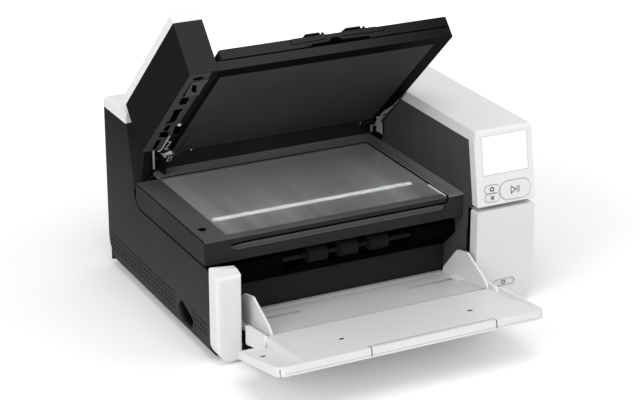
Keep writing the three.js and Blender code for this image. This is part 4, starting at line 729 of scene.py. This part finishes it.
# %% [markdown]
# The lid's underside. The arm's rail has a row of dark openings. A flat stiffener with a curved slot
# bridges it near its front end, and a light stop stud sits further down. The left hinge shows two folded
# springs and a light, pierced knuckle beside a bright upright bar on the housing. On the right a tapering
# steel strap runs down the lid to its hinge, and the bracket beside it has bright edges.


# %% Underside of the lid
def under(x, along, out=0.0):
    """The plane on the lid's underside: X to the right, Y towards the lid's front edge, Z outwards."""
    return plane(on_lid(x, along, -out), (1, 0, 0), -ALONG_LID)


sheet = under(0, 0)
STIFFENER = [(11.5, -62.7), (30.5, -62.3), (29.5, -33.7), (31, -18.5), (9.2, -23)]
stiffener = bmesh.new()
plate(stiffener, sheet, STIFFENER, -0.4, 1.1, 0.3)
add_piece("rail_stiffener", stiffener, "lid", rail_grey)
# Painted shade: dark plates fill the stiffener's curved slot.
stiffener_slot = bmesh.new()
slot = [(12, -27), (18, -30), (24, -52), (25.4, -54), (17, -48), (13.6, -40)]
plate(stiffener_slot, sheet, slot[::-1], 0.6, 1.25, 0.05)
stroke(stiffener_slot, sheet, [(8.6, -22), (11, -62)], 1.4, -0.3, 0.25)
stroke(stiffener_slot, sheet, [(10, -20.5), (28, -16)], 1.0, -0.3, 0.25)
add_piece("rail_stiffener_slots", stiffener_slot, "lid", joint_black_and_hole_shade)

# Painted shade: dark plates fill the rail's openings.
arm_openings = bmesh.new()
for corners in (
    [(10.2, -14.2), (14, -16), (21, -12.5), (20.5, -9.5), (14, -10.5)],
    [(11.8, -86.6), (21.1, -86.6), (19, -66.6), (8.6, -65.8)],
    [(11.9, -132.4), (21.1, -132.9), (19, -99.9), (10.1, -99.4)],
    [(11.9, -164.1), (19, -163.8), (18.8, -146.3), (12.2, -146.8)],
    [(12, -183.2), (24.8, -186.5), (23.3, -174.1), (11.7, -172.8)],
    [(13.1, -220.9), (19, -221), (17.6, -191.2), (11.9, -192)],
    [(29.2, -176.3), (38, -180.4), (37.5, -156.4), (25.8, -153.2)],
):
    plate(arm_openings, sheet, corners, -0.3, 0.12, 0.05)
add_piece("arm_openings", arm_openings, "lid", joint_black_and_hole_shade)

stud = bmesh.new()
turned(stud, sheet, (30.8, -150), [(2.3, -0.2), (2.3, 1.2), (1.7, 1.9), (0.8, 2.1)])
turned(stud, sheet, (75.5, -245), [(0.9, -0.2), (0.9, 0.5), (0.5, 0.9), (0.3, 1.0)], 12)
add_piece("lid_studs", stud, "lid", white_plastic)

springs = bmesh.new()
stroke(springs, sheet, [(27, -183), (27.4, -205), (27.5, -227), (24, -231)], 1.5, 0.0, 1.2)
stroke(springs, sheet, [(30.5, -203), (34.5, -203.5), (34.2, -214), (33, -226), (38, -228)], 1.3, 0.0, 1.1)
add_piece("hinge_springs", springs, "lid", steel)

upright = bmesh.new()
front_of_tower = plane(at(0, 259, 0), (1, 0, 0), (0, 0, 1))
plate(upright, front_of_tower, rounded(2.6, 27.4, 1.0, (36.3, 173.2), 3), -1.6, 0.4, 0.3)
add_piece("hinge_upright", upright, "base", steel)

KNUCKLE = [(47, -271), (53.2, -271), (51, -244.3), (43.9, -235), (37, -243), (30, -237.5), (38, -252)]
KNUCKLE += [(39.2, -255), (47, -255)]  # cut short where the bracket passes when the lid closes
knuckle = bmesh.new()
plate(knuckle, sheet, KNUCKLE, 0.2, 1.4, 0.2)
turned(knuckle, sheet, (46, -243), [(3.4, 1.2), (3.4, 2.0), (2.4, 2.5), (1.0, 2.5)], 14)
add_piece("hinge_knuckle", knuckle, "lid", steel)
# Painted shade: dark plates fill the knuckle's holes.
knuckle_holes = bmesh.new()
for corners in (
    [(42.6, -254.2), (47.2, -254.2), (46.5, -248.5), (41, -249)],
    [(48.2, -268), (51, -267.4), (50.2, -257.8), (47.9, -258.4)],
):
    plate(knuckle_holes, sheet, corners, 1.2, 1.5, 0.05)
add_piece("hinge_knuckle_holes", knuckle_holes, "lid", joint_black_and_hole_shade)

STRAP = [
    (355.3, -269.5), (359.5, -262), (361.3, -250), (360.9, -233.8), (360.9, -218.8), (361.9, -187),
    (360.9, -182.3), (359.6, -201.3), (351, -219), (350.6, -235.6), (347.4, -237.7), (351.8, -245.9),
    (354.6, -258.7),
]
right_strap = bmesh.new()
plate(right_strap, sheet, STRAP, 1.6, 2.5, 0.15)
add_piece("hinge_strap_right", right_strap, "lid", steel)
# Painted shade: a dark plate fills the strap's hole.
strap_hole = bmesh.new()
plate(strap_hole, sheet, [(354.2, -232.4), (358.2, -233.2), (358, -226.9), (356, -226.9)], 2.3, 2.6, 0.05)
add_piece("hinge_strap_hole", strap_hole, "lid", joint_black_and_hole_shade)
bracket_face = plane(at(362.2, 0, 0), (0, -1, 0), (0, 0, 1))
bracket_plate = bmesh.new()
for corners in (
    [(-243.3, 166.2), (-226, 166.8), (-227.5, 184), (-236, 184), (-243.3, 176)],
    [(-261, 159.2), (-254.3, 161.2), (-255.4, 171.8), (-261, 169.9)],
):
    plate(bracket_plate, bracket_face, corners, -0.3, 0.2, 0.1)
add_piece("hinge_bracket_edge", bracket_plate, "base", steel)
print("lid's underside and hinges dressed")

# %% [markdown]
# The lid's front edge. A black joint runs along it, and widens to a recess below the two sheet stops, where a
# dark plate is painted shade. Each stop is a low block with an open frame and a pointed fin, drawn on the
# plane of the lid's front edge, and a short rib inside the frame. These finer stops take the place of the
# frame's plain ones and move with their bodies.

# %% Front edge of the lid
lid_face = plane(on_lid(0, 0, 0), (1, 0, 0), OVER_LID)
lid_joint_and_recess_shade = bmesh.new()
stroke(lid_joint_and_recess_shade, lid_face, [(47.5, 13.0), (362, 13.0)], 1.9, -0.3, 0.1)
# Painted shade: a dark plate fills the recess below the sheet stops.
RECESS = [(167, 12.6), (249, 12.6), (249, 16.6), (212, 17.4), (207, 21.4), (198, 21.6), (193, 17.4)]
RECESS += [(169, 16.6)]
plate(lid_joint_and_recess_shade, lid_face, RECESS, -0.3, 0.14, 0.05)
for outline in ([(145.9, 26.7), (141.4, 23.8), (143.8, 19.7), (166, 20.2), (191, 20.9)],
                [(213, 21.4), (252, 20.6), (271, 20.8), (273, 24.5), (270.9, 26.7)]):
    stroke(lid_joint_and_recess_shade, lid_face, outline, 1.0, -0.2, 0.16)
add_piece("lid_joint_and_recess_shade", lid_joint_and_recess_shade, "lid", joint_black_and_hole_shade)

STOP_DEPTH = 30
ARCH_DEPTH = 9
STAY_DEPTH = 24
stops = {
    "output_stop_left": ([(143.5, 26.9), (191.5, 26.9), (191.5, 27.6), (146, 27.6)],
                         [(160, 27.4), (165, 30.7), (183.6, 30.7), (184.3, 27.4)],
                         [(185, 27.0), (190.8, 27.0), (188.8, 31.7)]),
    "output_stop_right": ([(212.5, 26.9), (261.5, 26.9), (261.5, 27.9), (213.5, 27.9)],
                          [(213.5, 27.4), (221.3, 31.2), (240.5, 31.0), (241.5, 27.4)],
                          [(243, 27.0), (248.6, 27.0), (246.2, 31.6)]),
}
for name, (block, arch, fin) in stops.items():
    stop = bmesh.new()
    plate(stop, lid_face, block, -STOP_DEPTH, -0.2, 0.15)
    stroke(stop, lid_face, arch, 1.3, -ARCH_DEPTH, -0.2, True)
    plate(stop, lid_face, fin, -ARCH_DEPTH, -0.2, 0.15)
    stroke(stop, lid_face, [arch[0], arch[1]], 1.0, -STAY_DEPTH, -ARCH_DEPTH)
    finer = add_piece(name + "_clip", stop, name, soft_black)
    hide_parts(name)
    inner = bmesh.new()
    middle = [(arch[1][0] + 2.0, 28.9), (arch[2][0] - 2.0, 28.9)]
    stroke(inner, lid_face, middle, 1.5, -6.5, -4.5)
    add_piece(name + "_rib", inner, name, rail_grey)
print("front edge of the lid dressed")

# %% [markdown]
# The flatbed's band carries two fine ridges along its right side. A black joint runs along the rear of the
# glass, forward along the band, down the front and back to the left above the finger groove. The deck has a
# small round hole near its left front corner, and beside the glass, at its right front corner, lies a short
# white reference strip. The lit window of the scan carriage rides under the glass.

# %% Flatbed band and glass
deck_z = extent("pod_band")[1].z / MM
deck = plane(at(0, 0, deck_z), (1, 0, 0), (0, 1, 0))
ridges = bmesh.new()
for inset in (349, 353.5):
    stroke(ridges, deck, [(inset, 18), (inset, 246)], 0.9, -0.2, 0.25)
add_piece("band_ridges", ridges, "flatbed", rail_grey)
SEAM_X, SEAM_Z, SEAM_REAR_Y, TURN = 343.2, 145.4, 236.9, 5.5
seam = bmesh.new()
front_face = plane(Vector((machine_corner.x, pod_front, 0)), (1, 0, 0), (0, 0, 1))
down_front = [(SEAM_X, deck_z + 0.1), (SEAM_X, SEAM_Z + TURN)]
down_front += circle(TURN, (SEAM_X - TURN, SEAM_Z + TURN), 6, 0, -90)[1:] + [(60, SEAM_Z), (36, SEAM_Z - 1.2)]
stroke(seam, front_face, down_front, 2.5, -0.3, 0.15)
front_y = (pod_front - machine_corner.y) / MM
stroke(seam, deck, [(SEAM_X, front_y - 0.1), (SEAM_X, SEAM_REAR_Y)], 2.3, -0.3, 0.12)
stroke(seam, deck, [(SEAM_X + 1.1, SEAM_REAR_Y), (36.5, SEAM_REAR_Y)], 3.2, -0.3, 0.1)
add_piece("flatbed_seam", seam, "flatbed", joint_black_and_hole_shade)
# Painted shade: a dark disc fills the deck's hole.
deck_hole = bmesh.new()
turned(deck_hole, deck, (15.2, 51.9), [(4.3, -0.5), (4.3, 0.02), (3.6, 0.05)])
add_piece("deck_hole", deck_hole, "flatbed", joint_black_and_hole_shade)
reference = bmesh.new()
plate(reference, deck, rounded(2.8, 43, 0.3, (340.6, 36), 2), -0.9, 0.12, 0.04)
add_piece("reference_strip", reference, "flatbed", white_plastic)

WINDOW_WIDTH = 10
lamp_low, lamp_high = extent("light_bar")
lamp_window = bmesh.new()
lamp_middle = plane((lamp_low + lamp_high) / 2, (1, 0, 0), (0, 1, 0))
lamp_half = (lamp_high.z - lamp_low.z) / 2 / MM
lamp_outline = rounded((lamp_high.x - lamp_low.x) / MM, WINDOW_WIDTH, 0.8, (0, 0), 3)
plate(lamp_window, lamp_middle, lamp_outline, 0, lamp_half + 0.3, 0.2)
add_piece("lamp_window", lamp_window, "carriage", scan_lamp)

# %% [markdown]
# The sheet tray. Its plane starts at its hinge line and tilts with it. Small dark ovals of painted shade mark
# the screw holes, a joint line runs along the extension's bar and down its ends, and the plate that carries
# the stack has two fine ridges near its rear edge.

# %% Marks on the tray
TRAY_BACK = (0, math.cos(TRAY_TILT), -math.sin(TRAY_TILT))
tray_sheet = plane(at(0, -79, 47.6), (1, 0, 0), TRAY_BACK)
BED, WING = 6.5, 1.6  # heights of the bed and of the low wings over the hinge plane
BAR_FRONT, BAR_REAR = -117, -109.2
tray_marks = bmesh.new()
# Painted shade: dark ovals fill the screw holes.
for middle in ((112.8, -58.6), (291.2, -58.6), (14.4, -46)):
    level = BED if middle[0] > 100 else WING
    oval = [(middle[0] + 3.4 * x, middle[1] + 2.6 * y) for x, y in circle(1, (0, 0), 16)]
    plate(tray_marks, tray_sheet, oval, level - 0.4, level + 0.1, 0.04)
add_piece("tray_marks", tray_marks, "tray", joint_grey_and_hole_shade)

bar_low, bar_high = extent("tray_extension")
bar_left, bar_right = (bar_low.x - machine_corner.x) / MM, (bar_high.x - machine_corner.x) / MM
TRAY_UP = (0, math.sin(TRAY_TILT), math.cos(TRAY_TILT))
tray_front = plane(tray_sheet @ Vector((0, BAR_FRONT * MM, 0)), (1, 0, 0), TRAY_UP)
bar_joint = bmesh.new()
for end in (bar_left - 0.3, bar_right + 0.3):
    stroke(bar_joint, tray_front, [(end, -4.0), (end, BED + 0.1)], 1.3, -0.5, 0.08)
    stroke(bar_joint, tray_sheet, [(end, BAR_FRONT), (end, BAR_REAR)], 1.1, BED - 0.4, BED + 0.1)
stroke(bar_joint, tray_sheet, [(bar_left, BAR_REAR), (bar_right, BAR_REAR)], 0.9, BED - 0.4, BED + 0.08)
add_piece("extension_joint", bar_joint, "tray", joint_grey_and_hole_shade)

plate_low, plate_high = extent("elevator_plate")
plate_corner = Vector((machine_corner.x, plate_low.y, plate_high.z))
plate_sheet = plane(plate_corner, (1, 0, 0), TRAY_BACK)
plate_ridges = bmesh.new()
for back in (103, 110):
    stroke(plate_ridges, plate_sheet, [(44, back), (356, back)], 1.2, -0.3, 0.5)
add_piece("plate_ridges", plate_ridges, "elevator", plate_white)
print("tray marked")

# %% [markdown]
# The roller that pulls sheets in is ribbed rubber. The ribs repeat evenly, so a Geometry Nodes group makes
# them: it puts points on a circle, turns a small block to each, makes the blocks real and gives them their
# material. The group's inputs are named, and a loop sets it up once for each of the three rolls.

# %% Ribs of the feed roller
roll_low, roll_high = extent("feed_roller")
roll_centre = (roll_low + roll_high) / 2
ROLL_RADIUS = (roll_high.z - roll_low.z) / 2
ROLL_LENGTH = 26 * MM
ROLL_PITCH = 44 * MM
RIBS = 22
RIB_SIZE = (0.8 * MM, 1.1 * MM, ROLL_LENGTH - 2 * MM)
RIB_SINK = 0.1 * MM


def rib_group():
    group = bpy.data.node_groups.new("roller ribs", "GeometryNodeTree")
    interface = group.interface
    interface.new_socket("Geometry", in_out="OUTPUT", socket_type="NodeSocketGeometry")
    count = interface.new_socket("Ribs", in_out="INPUT", socket_type="NodeSocketInt")
    radius = interface.new_socket("Radius", in_out="INPUT", socket_type="NodeSocketFloat")
    size = interface.new_socket("Rib size", in_out="INPUT", socket_type="NodeSocketVector")
    tree = group.nodes
    given, result = tree.new("NodeGroupInput"), tree.new("NodeGroupOutput")
    ring, block = tree.new("GeometryNodeMeshCircle"), tree.new("GeometryNodeMeshCube")
    place, real = tree.new("GeometryNodeInstanceOnPoints"), tree.new("GeometryNodeRealizeInstances")
    aim, spot = tree.new("FunctionNodeAlignRotationToVector"), tree.new("GeometryNodeInputPosition")
    finish = tree.new("GeometryNodeSetMaterial")
    finish.inputs["Material"].default_value = rubber
    links = group.links
    links.new(given.outputs["Ribs"], ring.inputs["Vertices"])
    links.new(given.outputs["Radius"], ring.inputs["Radius"])
    links.new(given.outputs["Rib size"], block.inputs["Size"])
    links.new(spot.outputs["Position"], aim.inputs["Vector"])
    aim.axis = "X"
    links.new(ring.outputs["Mesh"], place.inputs["Points"])
    links.new(block.outputs["Mesh"], place.inputs["Instance"])
    links.new(aim.outputs["Rotation"], place.inputs["Rotation"])
    links.new(place.outputs["Instances"], real.inputs["Geometry"])
    links.new(real.outputs["Geometry"], finish.inputs["Geometry"])
    links.new(finish.outputs["Geometry"], result.inputs["Geometry"])
    return group, {"Ribs": count.identifier, "Radius": radius.identifier, "Rib size": size.identifier}


def ribbed_roll(group, sockets):
    holder = bpy.data.objects.new("rib holder", bpy.data.meshes.new("rib holder"))
    scene.collection.objects.link(holder)
    modifier = holder.modifiers.new("ribs", "NODES")
    modifier.node_group = group
    modifier[sockets["Ribs"]] = RIBS
    modifier[sockets["Radius"]] = ROLL_RADIUS - RIB_SINK
    modifier[sockets["Rib size"]] = RIB_SIZE
    depsgraph = bpy.context.evaluated_depsgraph_get()
    mesh = bpy.data.meshes.new_from_object(holder.evaluated_get(depsgraph))
    bpy.data.objects.remove(holder)
    return mesh


group, sockets = rib_group()
ribs = bmesh.new()
for number in (-1, 0, 1):
    mesh = ribbed_roll(group, sockets)
    lying = Matrix.Rotation(math.pi / 2, 4, "Y")
    centre = Matrix.Translation(roll_centre + Vector((number * ROLL_PITCH, 0, 0)))
    mesh.transform(centre @ lying)
    ribs.from_mesh(mesh)
    bpy.data.meshes.remove(mesh)
add_piece("roller_ribs", ribs, "feed_roller", rubber)
print("roller ribs made")

# %% [markdown]
# The studio: a pale floor that only shows the object's soft shadow, one broad lamp high in front, another on
# the left for the sides that face it, a weak one on the right, and a plain sky light. To the camera the sky
# is white, and so is the floor away from the object. Near it the floor keeps the shadow.


# %% Floor, lamps and sky
FLOOR_HALF = 30.0
NEAR_FLOOR = 0.5
FAR_FLOOR = 1.3
NEAR_GLOW = (0.27, 0.27, 0.27)
FLOOR_GLOW = 0.45


def add_floor():
    mesh = bpy.data.meshes.new("floor")
    corners = [(-FLOOR_HALF, -FLOOR_HALF, 0), (FLOOR_HALF, -FLOOR_HALF, 0)]
    corners += [(FLOOR_HALF, FLOOR_HALF, 0), (-FLOOR_HALF, FLOOR_HALF, 0)]
    mesh.from_pydata(corners, [], [(0, 1, 2, 3)])
    floor = bpy.data.objects.new("floor", mesh)
    scene.collection.objects.link(floor)
    material, shader, place = new_material("pale floor")
    tree = material.node_tree
    speckle = noise(place, 3.0)
    plug(tree, shader.inputs["Base Color"], tinted(place, (0.92, 0.92, 0.92), speckle, 0.01))
    shader.inputs["Roughness"].default_value = 0.9
    shader.inputs["Specular IOR Level"].default_value = 0.1
    x, y, z = place.axes()
    reach = (x * x + y * y).math("SQRT", x * x + y * y)
    far = ((reach - NEAR_FLOOR) / (FAR_FLOOR - NEAR_FLOOR)).clamped()
    glow = {"stops": [(0.0, (*NEAR_GLOW, 1)), (1.0, (1, 1, 1, 1))]}
    plug(tree, shader.inputs["Emission Color"], place.node("ShaderNodeValToRGB", glow, Fac=far))
    path = tree.nodes.new("ShaderNodeLightPath")
    seen = Wire(tree, path.outputs["Is Camera Ray"])
    plug(tree, shader.inputs["Emission Strength"], seen * FLOOR_GLOW)
    mesh.materials.append(material)


def add_lamp(name, place, target, size, power):
    data = bpy.data.lights.new(name, "AREA")
    data.shape, data.size, data.energy = "DISK", size, power
    lamp = bpy.data.objects.new(name, data)
    scene.collection.objects.link(lamp)
    lamp.location = place
    lamp.rotation_euler = (Vector(target) - Vector(place)).to_track_quat("-Z", "Y").to_euler()


def light_the_sky(strength):
    world = bpy.data.worlds.new("studio")
    scene.world = world
    world.use_nodes = True
    tree = world.node_tree
    path = tree.nodes.new("ShaderNodeLightPath")
    seen = Wire(tree, path.outputs["Is Camera Ray"])
    background = tree.nodes["Background"]
    background.inputs["Color"].default_value = (1, 1, 1, 1)
    plug(tree, background.inputs["Strength"], seen * (1.0 - strength) + strength)


SKY_LIGHT = 0.67
add_floor()
add_lamp("key lamp", (-0.3, -1.1, 2.7), (0, 0, 0.15), 1.6, 22)
add_lamp("left lamp", (-2.4, -1.3, 1.5), (0.1, 0, 0.2), 1.6, 25)
add_lamp("fill lamp", (1.9, -1.0, 1.8), (0, 0, 0.15), 1.8, 8)
light_the_sky(SKY_LIGHT)
scene.view_settings.view_transform = "Standard"
